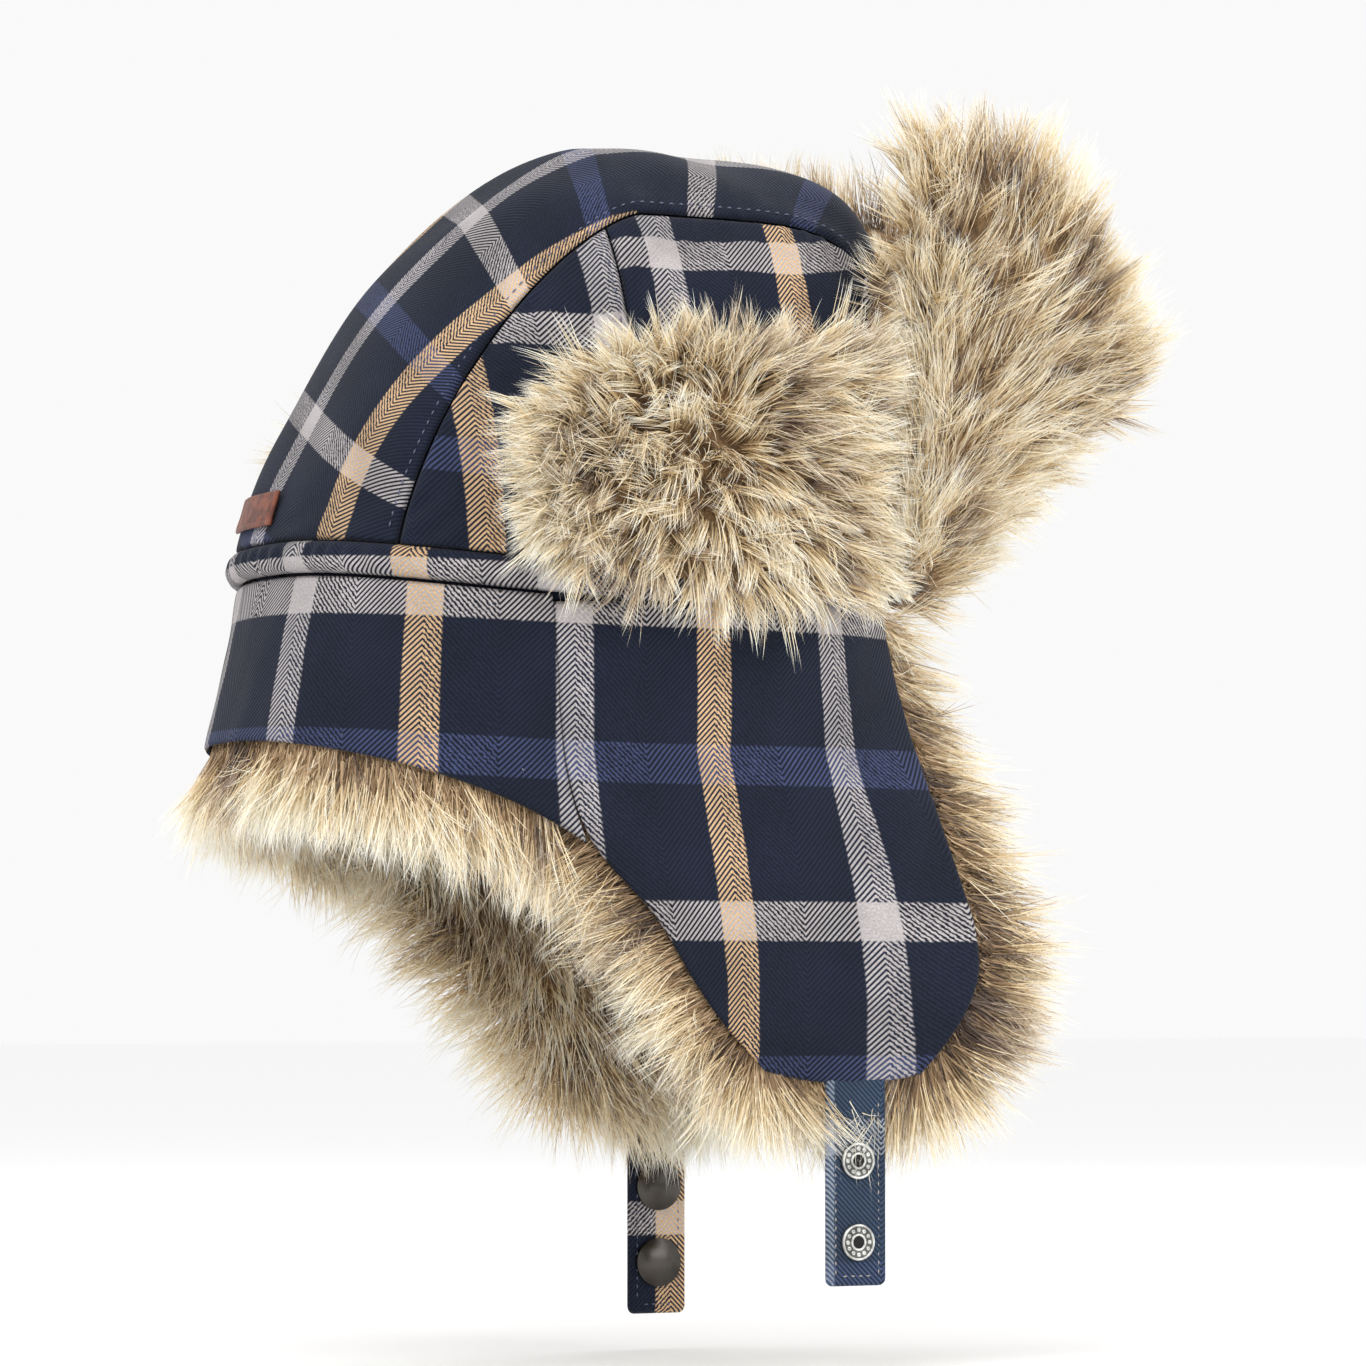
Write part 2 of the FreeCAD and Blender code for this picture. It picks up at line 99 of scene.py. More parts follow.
HEM_DROP = -56.0             # hem of the neck curtain at the back
HEM_DROP_SIDE = 30.0         # how much lower it is where the flaps begin
CURTAIN_FLARE = 0.22
CURTAIN_TURN = (radians(61.1), radians(66.5))
FUR_TURN = (radians(60.0), radians(63.5))
HEM_CORNER = HEM_DROP - HEM_DROP_SIDE
# a flap's edges from the fold to the tip, as (forward, up)
FLAP_REAR = ((-43, -14), (-41, -50), (-32, -85), (-7, -111), (13, -137), (38, -160.5))
FLAP_FRONT = ((88, -10), (92, -41), (108, -100), (115, -128), (95, -162))
ROOT_FRONT = ((93, -11), (100, -41), (115, -99), (121, -128), (100, -162))    # edge of the fur's skin
FLAP_TIP_SAG = 3.6

VISOR_HALF = 68.0
VISOR_STANDOFF = 4.4
VISOR_SEAM_Z = -3.0
VISOR_TIP = np.array([0.0, -190.0, 66.0])
VISOR_CORNER = 0.86
VISOR_CORNER_REACH = 104.0
VISOR_CORNER_RISE = 57.0
WING_SPAN = (78.0, -38.0)
WING_TOP = 61.0
WING_RISE = 40.0

CLOTH = (0.0, 1.6)           # depths of the outer cloth under the surface
LINING = (5.2, 6.7)
SWEATBAND_SPAN = (-2.5, 9.8)    # heights of the sweatband's edges from the tuck
CARE_TAG = (7.2, 7.7)           # depths of the care label's faces
CARE_HALF_WIDTH = 13.0
CARE_TURN = (radians(7), radians(26))    # tilts of its lower and upper edges
FLOOR_HALF = 9e3
CAMERA_AZIMUTH, CAMERA_ELEVATION, CAMERA_DISTANCE = radians(-117), radians(-3), 1.866
CAMERA_TARGET = Vector((-0.0167, -0.0367, -0.0344))
QUILT_PITCH = 38
STRAP_CORNER = 2.5
STITCH_INSET = 2.6           # from a seam to the topstitching beside it
STRIPE_PITCH = 45.6          # from a light stripe of the plaid to the next warm or blue one
STRIPE_HALF = 5.75
STRIPE_SOFT = 0.35
TWILL_PITCH = 1.75


# ---- vector helpers ----
def points(x, y, z):
    return np.stack(np.broadcast_arrays(x, y, z), axis=-1).astype(float)


def unit(v):
    return v / np.maximum(np.linalg.norm(v, axis=-1, keepdims=True), 1e-9)


def mix(a, b, t):
    return a + (b - a) * t


def smooth(t):
    t = np.clip(t, 0, 1)
    return t * t * (3 - 2 * t)


def waves(p, size, seed, count=7):
    """Smooth noise from -1 to 1 with features about size millimetres across."""
    draw = np.random.default_rng(seed)
    total = 0
    for _ in range(count):
        direction = unit(draw.normal(size=3)) * draw.uniform(0.6, 1.5)
        total = total + np.sin(p @ direction * (2 * pi / size) + draw.uniform(0, 2 * pi))
    return total / sqrt(count * 2)


# ---- surfaces of the frame ----
def sagittal_scale(y, z):
    """What brings a point of the middle plane out to the crown's middle section."""
    back = y > 0
    power = np.where(back, BACK_ROUND, FRONT_ROUND)
    reach = np.where(back, BACK_REACH, FRONT_REACH)
    total = (np.abs(y) / reach) ** power + (np.maximum(z, 0) / CROWN_HEIGHT) ** power
    return np.maximum(total, 1e-60) ** (-1 / power)


def on_crown(p, depth):
    """Point of the crown, a depth under its surface, in the same direction from the origin as p."""
    d = unit(p)
    side = (np.abs(d[..., 0]) / HALF_BREADTH) ** PLAN_ROUND
    reach = (side + sagittal_scale(d[..., 1], d[..., 2]) ** -PLAN_ROUND) ** (-1 / PLAN_ROUND)
    return d * (reach - depth)[..., None]


def plan_point(turn, breadth=HALF_BREADTH, front=FRONT_REACH, back=BACK_REACH):
    reach = np.where(np.cos(turn) > 0, back, front)
    scale = np.abs(np.sin(turn) / breadth) ** PLAN_ROUND + np.abs(np.cos(turn) / reach) ** PLAN_ROUND
    scale = scale ** (-1 / PLAN_ROUND)
    return points(scale * np.sin(turn), scale * np.cos(turn), 0 * turn)


def tuck_z(y):
    """Height of the tuck where the neck curtain and the flaps begin."""
    back = TUCK_LOW + TUCK_RISE_BACK * (y / BACK_REACH) ** 2
    return np.where(y > 0, back, TUCK_LOW + TUCK_RISE_FRONT * (y / FRONT_REACH) ** 2)


def narrowing(x):
    return (1 - (np.abs(x) / HALF_BREADTH) ** PLAN_ROUND) ** (1 / PLAN_ROUND)


def seam_point(x, tilt):
    """Point of the crown in the plane of one x, tilt round from the level at the back."""
    scale = sagittal_scale(np.cos(tilt), np.sin(tilt)) * narrowing(x)
    return points(x, scale * np.cos(tilt), scale * np.sin(tilt))


def base_tilt(x, front):
    y = (-FRONT_REACH if front else BACK_REACH) * narrowing(x)
    return np.arctan2(tuck_z(y) + BAND_HEIGHT, y)


def tilt_at(x, y):
    tilts = np.linspace(radians(20), radians(160), 2000)
    return np.interp(-y, -seam_point(np.full(tilts.shape, x), tilts)[:, 1], tilts)


def turn_at(y):
    turns = np.linspace(0, pi, 2000)
    return np.interp(-y, -plan_point(turns)[:, 1], turns)


TURNS = np.linspace(0, pi, 4000)
OVAL = plan_point(TURNS)
OVAL_LENGTH = np.concatenate([[0], np.cumsum(np.linalg.norm(np.diff(OVAL, axis=0), axis=1))])


def girth(turn):
    """Distance along the head opening from the middle of the back, either way round."""
    return np.interp(np.abs(turn), TURNS, OVAL_LENGTH)


def girth_at(y):
    return np.interp(-y, -OVAL[:, 1], OVAL_LENGTH)


def crown_strip(u, v, depth):
    x = mix(-STRIP_HALF + SEAM_GAP, STRIP_HALF - SEAM_GAP, u)
    tilt = mix(base_tilt(x, True), base_tilt(x, False), v)
    return on_crown(seam_point(x, tilt), depth)


def coons(bottom, top, left, right, u, v):
    """Surface between four edges."""
    s, t = u[..., None], v[..., None]
    zero, one = np.zeros_like(u), np.ones_like(u)
    corners = mix(mix(bottom(zero), bottom(one), s), mix(top(zero), top(one), s), t)
    return mix(bottom(u), top(u), t) + mix(left(v), right(v), s) - corners


def side_panel(front_y, back_y):
    """Left side of the crown between two planes, or out to the strip's seam where one is None."""
    x = STRIP_HALF + SEAM_GAP
    front_seam, back_seam = base_tilt(x, True), base_tilt(x, False)
    base_front = turn_at(seam_point(x, front_seam)[1] if front_y is None else front_y)
    base_back = turn_at(seam_point(x, back_seam)[1] if back_y is None else back_y)
    top_front = SHOULDER_FRONT if front_y is None else tilt_at(x, front_y)
    top_back = SHOULDER_BACK if back_y is None else tilt_at(x, back_y)

    def base_point(turn):
        p = plan_point(turn)
        p[..., 2] = tuck_z(p[..., 1]) + BAND_HEIGHT
        return p

    def bottom(u):
        return base_point(mix(base_front, base_back, u))

    def top(u):
        return seam_point(np.full(u.shape, x), mix(top_front, top_back, u))

    def edge(v, seam, shoulder, base, y):
        if y is None:
            return seam_point(np.full(v.shape, x), mix(seam, shoulder, v))
        low, high = base_point(np.array(base)), seam_point(x, shoulder)
        z = mix(low[2], high[2], v)
        level = np.maximum(z, 0)
        width = (1 - sagittal_scale(np.full(z.shape, y), level) ** -PLAN_ROUND) ** (1 / PLAN_ROUND)
        return points(HALF_BREADTH * width, y, z)

    def surface(u, v, depth):
        p = coons(bottom, top,
                  lambda t: edge(t, front_seam, top_front, base_front, front_y),
                  lambda t: edge(t, back_seam, top_back, base_back, back_y), u, v)
        return on_crown(p, depth)

    return surface


def band_surface(start, stop, low, high, puff=0.0):
    def surface(u, v, depth):
        p = plan_point(mix(start, stop, u))
        bulge = puff * (1 - (2 * v - 1) ** 2) - depth
        z = tuck_z(p[..., 1]) + mix(low, high, v)
        return p + unit(p) * bulge[..., None] + points(0 * u, 0 * u, z)

    return surface


def mantle_axes(z):
    """Half breadth and reaches of the neck curtain and flaps at a height."""
    drop = np.maximum(-10 - z, -6)
    t = drop / 155
    breadth = HALF_BREADTH + 10 * t - 26 * t * t
    return breadth, FRONT_REACH + 0.0112 * drop * np.abs(drop), BACK_REACH + CURTAIN_FLARE * drop


def mantle_inward(p, axes):
    breadth, front, back = axes
    x, y = p[..., 0], p[..., 1]
    reach = np.where(y > 0, back, front)
    nx = (np.abs(x) / breadth) ** (PLAN_ROUND - 1) / breadth
    ny = (np.abs(y) / reach) ** (PLAN_ROUND - 1) / reach
    return unit(points(-np.sign(x) * nx, -np.sign(y) * ny, 0 * nx))


def curtain_surface(turns, top_gap, extra):
    def surface(u, v, depth):
        turn = mix(-1, 1, u) * mix(turns[0], turns[1], v)
        top = tuck_z(plan_point(turn)[..., 1]) - top_gap
        hem = HEM_DROP - HEM_DROP_SIDE * (np.abs(turn) / CURTAIN_TURN[1]) ** 2.2
        z = mix(top, hem - extra, v)
        axes = mantle_axes(z)
        p = plan_point(turn, *axes)
        p[..., 2] = z
        return p + mantle_inward(p, axes) * depth[..., None]

    return surface


def curtain_cloth_surface(u, v, depth):
    """Neck curtain from the fold to the hem, its sides on the line where the ear flaps begin."""
    rear = smooth_curve(FLAP_REAR)(np.linspace(0, 1, 300))
    axes = mantle_axes(rear[:, 1])
    side = axes[0] * (1 - (np.abs(rear[:, 0]) / axes[2]) ** PLAN_ROUND) ** (1 / PLAN_ROUND)
    edge_turn = np.arctan2(side, -rear[:, 0])
    edge_z = mix(rear[0, 1] + 1.0, HEM_CORNER, v)
    turn = mix(-1, 1, u) * np.interp(-edge_z, -rear[:, 1], edge_turn)
    top = tuck_z(plan_point(turn)[..., 1]) - 0.8
    hem = HEM_DROP - HEM_DROP_SIDE * (np.abs(turn) / CURTAIN_TURN[1]) ** 2.2
    z = mix(top, hem, v)
    axes = mantle_axes(z)
    p = plan_point(turn, *axes)
    p[..., 2] = z
    return p + mantle_inward(p, axes) * depth[..., None]


def smooth_curve(outline):
    """Natural cubic spline through the points of an outline, run by a parameter from 0 to 1."""
    knots = np.array(outline, float)
    step = np.linalg.norm(np.diff(knots, axis=0), axis=1)
    place = np.concatenate([[0], np.cumsum(step)]) / step.sum()
    h = np.diff(place)
    count = len(knots)
    system, slope = np.eye(count), np.zeros((count, 2))
    for i in range(1, count - 1):
        system[i, i - 1:i + 2] = h[i - 1], 2 * (h[i - 1] + h[i]), h[i]
        slope[i] = 6 * ((knots[i + 1] - knots[i]) / h[i] - (knots[i] - knots[i - 1]) / h[i - 1])
    bend = np.linalg.solve(system, slope)

    def at(t):
        i = np.clip(np.searchsorted(place, t) - 1, 0, count - 2)
        a, b = (place[i + 1] - t)[..., None], (t - place[i])[..., None]
        width = h[i][..., None]
        curve = (bend[i] * a ** 3 + bend[i + 1] * b ** 3) / (6 * width)
        curve = curve + (knots[i] / width - bend[i] * width / 6) * a
        return curve + (knots[i + 1] / width - bend[i + 1] * width / 6) * b

    return at


def flap_surface(rear, front):
    rear_at, front_at = smooth_curve(rear), smooth_curve(front)

    def surface(u, v, depth):
        a, b = rear_at(v), front_at(v)
        y = -mix(a[..., 0], b[..., 0], u)
        z = mix(a[..., 1], b[..., 1], u) - FLAP_TIP_SAG * v ** 3 * 4 * u * (1 - u)
        axes = mantle_axes(z)
        reach = np.where(y > 0, axes[2], axes[1])
        x = axes[0] * (1 - np.minimum(np.abs(y) / reach, 0.999) ** PLAN_ROUND) ** (1 / PLAN_ROUND)
        p = points(x, y, z)
        return p + mantle_inward(p, axes) * depth[..., None]

    return surface


def visor_sheet(u, v):
    """Visor from its seam (v = 0) to its two raised corners (v = 1)."""
    side = np.abs(u)
    x = VISOR_HALF * u
    seam = points(x, -FRONT_REACH * narrowing(x), VISOR_SEAM_Z)
    seam = seam - mantle_inward(seam, (HALF_BREADTH, FRONT_REACH, BACK_REACH)) * VISOR_STANDOFF
    rise = VISOR_CORNER_RISE * (1 - np.cos(pi * side / VISOR_CORNER)) / 2
    top = VISOR_TIP + points(x, VISOR_CORNER_REACH * side ** 2.4, rise)
    return mix(seam, top, v[..., None])


def visor_surface(reach_u, reach_v, start_v=0.0):
    def surface(u, v, depth):
        a, b, step = mix(-reach_u, reach_u, u), mix(start_v, reach_v, v), 1e-3
        du = visor_sheet(a + step, b) - visor_sheet(a - step, b)
        dv = visor_sheet(a, b + step) - visor_sheet(a, b - step)
        return visor_sheet(a, b) + unit(np.cross(du, dv)) * depth[..., None]

    return surface


def wing_surface(margin):
    """Visor wing on the left temple, from its front end to its rounded rear end."""
    def surface(u, v, depth):
        f = mix(WING_SPAN[0], WING_SPAN[1] - margin, u)
        back = np.maximum(0.0, -(f - 6) / (6 - WING_SPAN[1])) ** 2.4
        top = WING_TOP + margin + WING_RISE * np.exp(-((WING_SPAN[0] - f) / 10) ** 2) - 20 * back
        bottom = -5 - 0.6 * margin + 14 * back
        z = mix(bottom, top, v)
        y, level = -f, np.maximum(z, 0)
        width = 1 - np.minimum(sagittal_scale(y, level) ** -PLAN_ROUND, 0.97)
        p = points(HALF_BREADTH * width ** (1 / PLAN_ROUND), y, z)
        return p + mantle_inward(p, (HALF_BREADTH, FRONT_REACH, BACK_REACH)) * depth[..., None]

    return surface


# ---- materials ----
def srgb(r, g, b):
    def linear(c):
        c /= 255
        return c / 12.92 if c <= 0.04045 else ((c + 0.055) / 1.055) ** 2.4
    return linear(r), linear(g), linear(b), 1.0


class Shader:
    """A node material written as expressions."""

    def __init__(self, name, roughness=0.8, metallic=0.0, sheen=0.0):
        self.material = bpy.data.materials.new(name)
        self.material.use_nodes = True
        self.tree = self.material.node_tree
        self.surface = self.tree.nodes["Principled BSDF"]
        self.set("Roughness", roughness)
        self.set("Metallic", metallic)
        self.set("Sheen Weight", sheen)

    def set(self, socket, value):
        target = self.surface.inputs[socket]
        if isinstance(value, bpy.types.NodeSocket):
            self.tree.links.new(value, target)
        else:
            target.default_value = value

    def node(self, kind, output, settings=None, **inputs):
        made = self.tree.nodes.new(kind)
        for key, value in (settings or {}).items():
            setattr(made, key, value)
        for key, value in inputs.items():
            target = made.inputs[int(key[1:])] if key[0] == "_" else made.inputs[key]
            if isinstance(value, bpy.types.NodeSocket):
                self.tree.links.new(value, target)
            else:
                target.default_value = value
        return made.outputs[output]

    def math(self, operation, a, b=0.0, c=0.0):
        return self.node("ShaderNodeMath", 0, {"operation": operation}, _0=a, _1=b, _2=c)

    def ramp(self, value, low, high, out_low=0.0, out_high=1.0):
        kind = {"interpolation_type": "SMOOTHSTEP"}
        return self.node("ShaderNodeMapRange", 0, kind, _0=value, _1=low, _2=high,
                         _3=out_low, _4=out_high)

    def mix(self, share, a, b, blend="MIX"):
        made = {"data_type": "RGBA", "blend_type": blend}
        return self.node("ShaderNodeMix", 2, made, _0=share, _6=a, _7=b)

    def noise(self, vector, scale, detail=2.0):
        return self.node("ShaderNodeTexNoise", 0, None, Vector=vector, Scale=scale, Detail=detail)

    def object_place(self):
        return self.node("ShaderNodeTexCoord", 3)

    def bump(self, height, strength, distance):
        self.set("Normal", self.node("ShaderNodeBump", 0, None, Height=height,
                                     Strength=strength, Distance=distance))


def plaid(name, ground, ground_weft, light, warm, blue, fade=0.0):
    """Herringbone twill: light and warm stripes along the warp, light and blue ones across."""
    s = Shader(name, roughness=0.88, sheen=0.05)
    s.set("Specular IOR Level", 0.2)
    cloth = s.node("ShaderNodeAttribute", 1, {"attribute_name": "cloth"})
    ragged = s.noise(cloth, 0.9)
    split = s.tree.nodes.new("ShaderNodeSeparateXYZ")
    s.tree.links.new(cloth, split.inputs[0])
    jitter = s.math("MULTIPLY_ADD", ragged, 0.9, -0.45)
    across = s.math("ADD", split.outputs[0], jitter)
    along = s.math("ADD", split.outputs[1], jitter)

    def stripe(place):
        nearest = s.math("ABSOLUTE", s.math("WRAP", place, STRIPE_PITCH, -STRIPE_PITCH))
        between = s.math("SUBTRACT", STRIPE_PITCH, nearest)
        return [s.ramp(distance, STRIPE_HALF - STRIPE_SOFT, STRIPE_HALF + STRIPE_SOFT, 1.0, 0.0)
                for distance in (nearest, between)]

    warp_light, warp_warm = stripe(across)
    weft_light, weft_blue = stripe(along)
    zigzag = s.math("PINGPONG", across, STRIPE_PITCH / 2)
    phase = s.math("MULTIPLY_ADD", zigzag, 1.0, along)
    twill = s.math("SINE", s.math("MULTIPLY", phase, 2 * pi / TWILL_PITCH))
    over = s.ramp(twill, -0.75, 0.75)
    warp = s.mix(warp_warm, s.mix(warp_light, ground, light), warm)
    weft = s.mix(weft_blue, s.mix(weft_light, ground_weft, light), blue)
    colour = s.mix(over, weft, warp)
    cloudy = s.ramp(s.noise(cloth, 0.035, 4.0), 0.3, 0.7, 0.82, 1.2)
    lint = s.ramp(s.noise(cloth, 1.6, 3.0), 0.35, 0.75, 0.88, 1.22)
    shade = s.math("MULTIPLY", cloudy, lint)
    toned = s.mix(1.0, colour, s.node("ShaderNodeCombineColor", 0, None, _0=shade, _1=shade, _2=shade),
                  "MULTIPLY")
    s.set("Base Color", s.mix(fade, toned, light))
    yarn = s.noise(cloth, 2.6, 2.0)
    s.bump(s.math("MULTIPLY_ADD", yarn, 0.6, twill), 0.3, 0.0004)
    return s.material


def mottled(name, dark, pale, scale, roughness, bump=0.0004, sheen=0.0, metallic=0.0):
    """Material that drifts between two colours, with a fine grain."""
    s = Shader(name, roughness, metallic, sheen)
    place = s.object_place()
    patch = s.ramp(s.noise(place, scale, 5.0), 0.35, 0.65)
    s.set("Base Color", s.mix(patch, dark, pale))
    s.bump(s.noise(place, scale * 6, 3.0), 0.5, bump)
    return s.material


def plain(name, colour, roughness=0.6):
    s = Shader(name, roughness)
    s.set("Base Color", colour)
    s.set("Specular IOR Level", 0.35)
    return s.material


NAVY, NAVY_WEFT = srgb(17, 22, 36), srgb(27, 34, 52)
GREY, TAN, BLUE = srgb(176, 170, 170), srgb(206, 172, 132), srgb(60, 69, 103)
cloth_material = plaid("plaid_flannel", NAVY, NAVY_WEFT, GREY, TAN, BLUE)
faded_cloth = plaid("plaid_flannel_reverse", srgb(24, 34, 50), srgb(52, 70, 94), srgb(140, 148, 160),
                    srgb(150, 140, 126), srgb(66, 82, 118), 0.03)
lining_material = mottled("lining_satin", srgb(34, 40, 56), srgb(44, 52, 72), 30, 0.45, 0.0002, 0.2)
fur_backing = mottled("fur_backing", srgb(92, 72, 52), srgb(150, 120, 84), 140, 0.95, 0.002)
twill_tape = mottled("twill_tape", srgb(28, 34, 52), srgb(40, 47, 68), 900, 0.8, 0.0003)
label_tape = mottled("label_tape", srgb(214, 210, 200), srgb(232, 229, 222), 200, 0.7, 0.0002)
leather = mottled("brown_leather", srgb(84, 38, 24), srgb(128, 66, 42), 260, 0.5, 0.0005)
dark_metal = mottled("black_nickel", srgb(58, 55, 52), srgb(84, 80, 76), 60, 0.24, 0.0001,
                     metallic=1.0)
silver_metal = mottled("silver_nickel", srgb(176, 176, 172), srgb(226, 226, 222), 300, 0.28,
                       0.0002, metallic=1.0)
plate_metal = mottled("silver_nickel_plate", srgb(84, 84, 83), srgb(118, 118, 116), 300, 0.45,
                      0.0002, metallic=1.0)
# near black: painted shade for the holes of the right strap's open rings
painted_shade_disc = plain("painted_shade_disc", srgb(18, 18, 20), 0.7)
thread = plain("thread", srgb(176, 170, 165), 0.8)
dark_thread = plain("thread_navy", srgb(104, 108, 132), 0.8)

# strand colours from root to tip, for a dark, a golden and a pale tuft
FUR_SHADES = (
    ((104, 88, 78), (146, 126, 110), (194, 174, 150), (242, 230, 208)),
    ((164, 136, 104), (222, 198, 156), (250, 234, 200), (255, 251, 236)),
    ((196, 168, 132), (243, 225, 190), (255, 248, 226), (255, 254, 248)),
)
fur_materials = [plain(f"fur_{tuft}_{level}", srgb(*colour), 0.55)
                 for tuft, levels in enumerate(FUR_SHADES) for level, colour in enumerate(levels)]


# ---- building meshes ----
def raw_mesh(name, p, polygons):
    mesh = bpy.data.meshes.new(name)
    corners = np.concatenate([f.ravel() for f in polygons]).astype(np.int32)
    sizes = np.concatenate([np.full(len(f), f.shape[1]) for f in polygons])
    starts = np.concatenate([[0], np.cumsum(sizes)[:-1]]).astype(np.int32)
    mesh.vertices.add(len(p))
    mesh.vertices.foreach_set("co", (p * METRES).astype(np.float32).ravel())
    mesh.loops.add(len(corners))
    mesh.loops.foreach_set("vertex_index", corners)
    mesh.polygons.add(len(sizes))
    mesh.polygons.foreach_set("loop_start", starts)
    mesh.polygons.foreach_set("use_smooth", np.ones(len(sizes), bool))
    mesh.update(calc_edges=True)
    return mesh


def piece(name, mesh, materials, body, nodes=(), bend=None):
    """Object that rides on a body; with bend given, it is left unattached and its transform is baked in.
    """
    thing = bpy.data.objects.new(name, mesh)
    bpy.context.scene.collection.objects.link(thing)
    for material in materials:
        mesh.materials.append(material)
    if bend is None:
        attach(thing, body)
    else:
        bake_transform(thing)
    if nodes:
        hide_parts(*nodes)
    return thing


def grid(count_u, count_v):
    return np.meshgrid(np.linspace(0, 1, count_u), np.linspace(0, 1, count_v), indexing="ij")


def along(p, axis):
    """Distance run along a grid of points in one direction."""
    step = np.linalg.norm(np.diff(p, axis=axis), axis=-1)
    start = np.zeros_like(step[:1] if axis == 0 else step[:, :1])
    return np.concatenate([start, np.cumsum(step, axis=axis)], axis=axis)


def edge_distance(p, joined=None):
    """Distance from the edges of a grid of points, but for the edges joined to another piece."""
    run_u, run_v = along(p, 0), along(p, 1)
    far = 1e3
    ends = {"u0": run_u, "u1": run_u[-1:] - run_u, "v0": run_v, "v1": run_v[:, -1:] - run_v}
    if joined == "curtain":
        ends["u0"] = ends["u1"] = np.full(run_u.shape, far)
    if joined == "flap":
        ends["u0"] = run_u + far * smooth((p[..., 2] - HEM_CORNER) / 6)
    return np.minimum.reduce(list(ends.values()))


def pad(surface, count_u, count_v, depths, roll, cloth=None, relief=None, mirror=False, joined=None):
    """Closed pad between two depths: its faces meet in a rounded edge, roll millimetres wide."""
    u, v = grid(count_u, count_v)
    outer_depth, inner_depth = np.full(u.shape, depths[0]), np.full(u.shape, depths[1])
    plain_face = surface(u, v, outer_depth)
    inward = surface(u, v, inner_depth) - plain_face
    flatness = np.clip(edge_distance(plain_face, joined) / roll, 0, 1)
    round_off = 0.5 * (1 - np.sqrt(1 - (1 - flatness) ** 2))[..., None]
    bulge = 0 if relief is None else relief(u, v, plain_face)[..., None] * unit(inward)
    outer = plain_face + inward * round_off - bulge
    inner = plain_face + inward * (1 - round_off) - bulge
    border = (u == 0) | (u == 1) | (v == 0) | (v == 1)
    number = np.arange(u.size).reshape(u.shape)
    inner_number = number.copy()
    inner_number[~border] = u.size + np.arange((~border).sum())
    p = np.concatenate([outer.reshape(-1, 3), inner[~border]])
    faces = [np.stack([n[:-1, :-1], n[1:, :-1], n[1:, 1:], n[:-1, 1:]], -1).reshape(-1, 4)
             for n in (number, inner_number)]
    i, j = count_u // 2, count_v // 2
    facing = np.cross(outer[i + 1, j] - outer[i, j], outer[i, j + 1] - outer[i, j]) @ inward[i, j]
    flip_outer = (facing > 0) != mirror
    faces = [f[:, ::-1] if flip == flip_outer else f for f, flip in zip(faces, (True, False))]
    coordinates = None
    if cloth is not None:
        first, second = cloth(u, v, plain_face)
        pair = np.stack([first, second, 0 * first], -1).reshape(-1, 3)
        coordinates = np.concatenate([pair, pair.reshape(u.shape + (3,))[~border]])
    if mirror:
        p = p * [-1, 1, 1]
    return p, faces, coordinates


def cloth_piece(name, surface, counts, depths, roll, body, nodes, material, cloth=None,
                relief=None, mirror=False, bend=None, joined=None):
    p, faces, coordinates = pad(surface, *counts, depths, roll, cloth, relief, mirror, joined)
    mesh = raw_mesh(name, p, faces)
    if coordinates is not None:
        layer = mesh.attributes.new("cloth", "FLOAT_VECTOR", "POINT")
        layer.data.foreach_set("vector", coordinates.astype(np.float32).ravel())
    thing = piece(name, mesh, [material], body, nodes, bend)
    return thing


def dashes(name, runs, body, material, length=2.3, pitch=3.5, radius=0.34, bend=None):
    """Topstitching: short thread beads along runs of (points, outward) pairs."""
    all_points, all_faces, count = [], [], 0
    shell = np.array([[0, 2, 1], [0, 3, 2], [0, 4, 3], [0, 1, 4],
                      [5, 1, 2], [5, 2, 3], [5, 3, 4], [5, 4, 1]])
    for line, outward in runs:
        run = np.concatenate([[0], np.cumsum(np.linalg.norm(np.diff(line, axis=0), axis=1))])
        starts = np.arange(pitch, run[-1] - length, pitch)

        def at(place, values=line):
            return np.stack([np.interp(place, run, values[:, k]) for k in range(3)], -1)

        a, b = at(starts), at(starts + length)
        up = unit(at(starts, outward))
        side = unit(np.cross(b - a, up))
        middle = (a + b) / 2
        waist = [middle + way * radius for way in (up, side, -up, -side)]
        beads = np.stack([a - up * 0.1] + waist + [b - up * 0.1], 1)
        all_points.append(beads.reshape(-1, 3))
        first = 6 * np.arange(len(starts))[:, None, None] + count
        all_faces.append((shell[None] + first).reshape(-1, 3))
        count += beads.shape[0] * 6
    mesh = raw_mesh(name, np.concatenate(all_points), [np.concatenate(all_faces)])
    return piece(name, mesh, [material], body, (), bend)


def surface_line(surface, u, v, depth, mirror=False):
    """Points of a line on a surface, with the outward direction at each."""
    p = surface(u, v, np.full(u.shape, depth))
    outward = p - surface(u, v, np.full(u.shape, depth + 1.0))
    return flip(p, mirror), flip(outward, mirror)


# ---- fur ----
STRAND_LEVELS = np.array([0.0, 0.3, 0.58, 0.82, 1.0])
ROOM_SHARE, ROOM_MARGIN = 0.03, 9.0


def room_share(root, tip):
    """How much of a strand stays inside the frame's box, grown by a share of its size and a margin."""
    low, high = (np.array(c) / METRES for c in cad_box)
    spare = (high - low) * ROOM_SHARE + ROOM_MARGIN
    limit = np.where(tip > root, high + spare, low - spare)
    share = (limit - root) / np.where(np.abs(tip - root) < 1e-6, 1e-6, tip - root)
    return np.clip(np.where(share < 0, 1, share).min(axis=1), 0.1, 1)


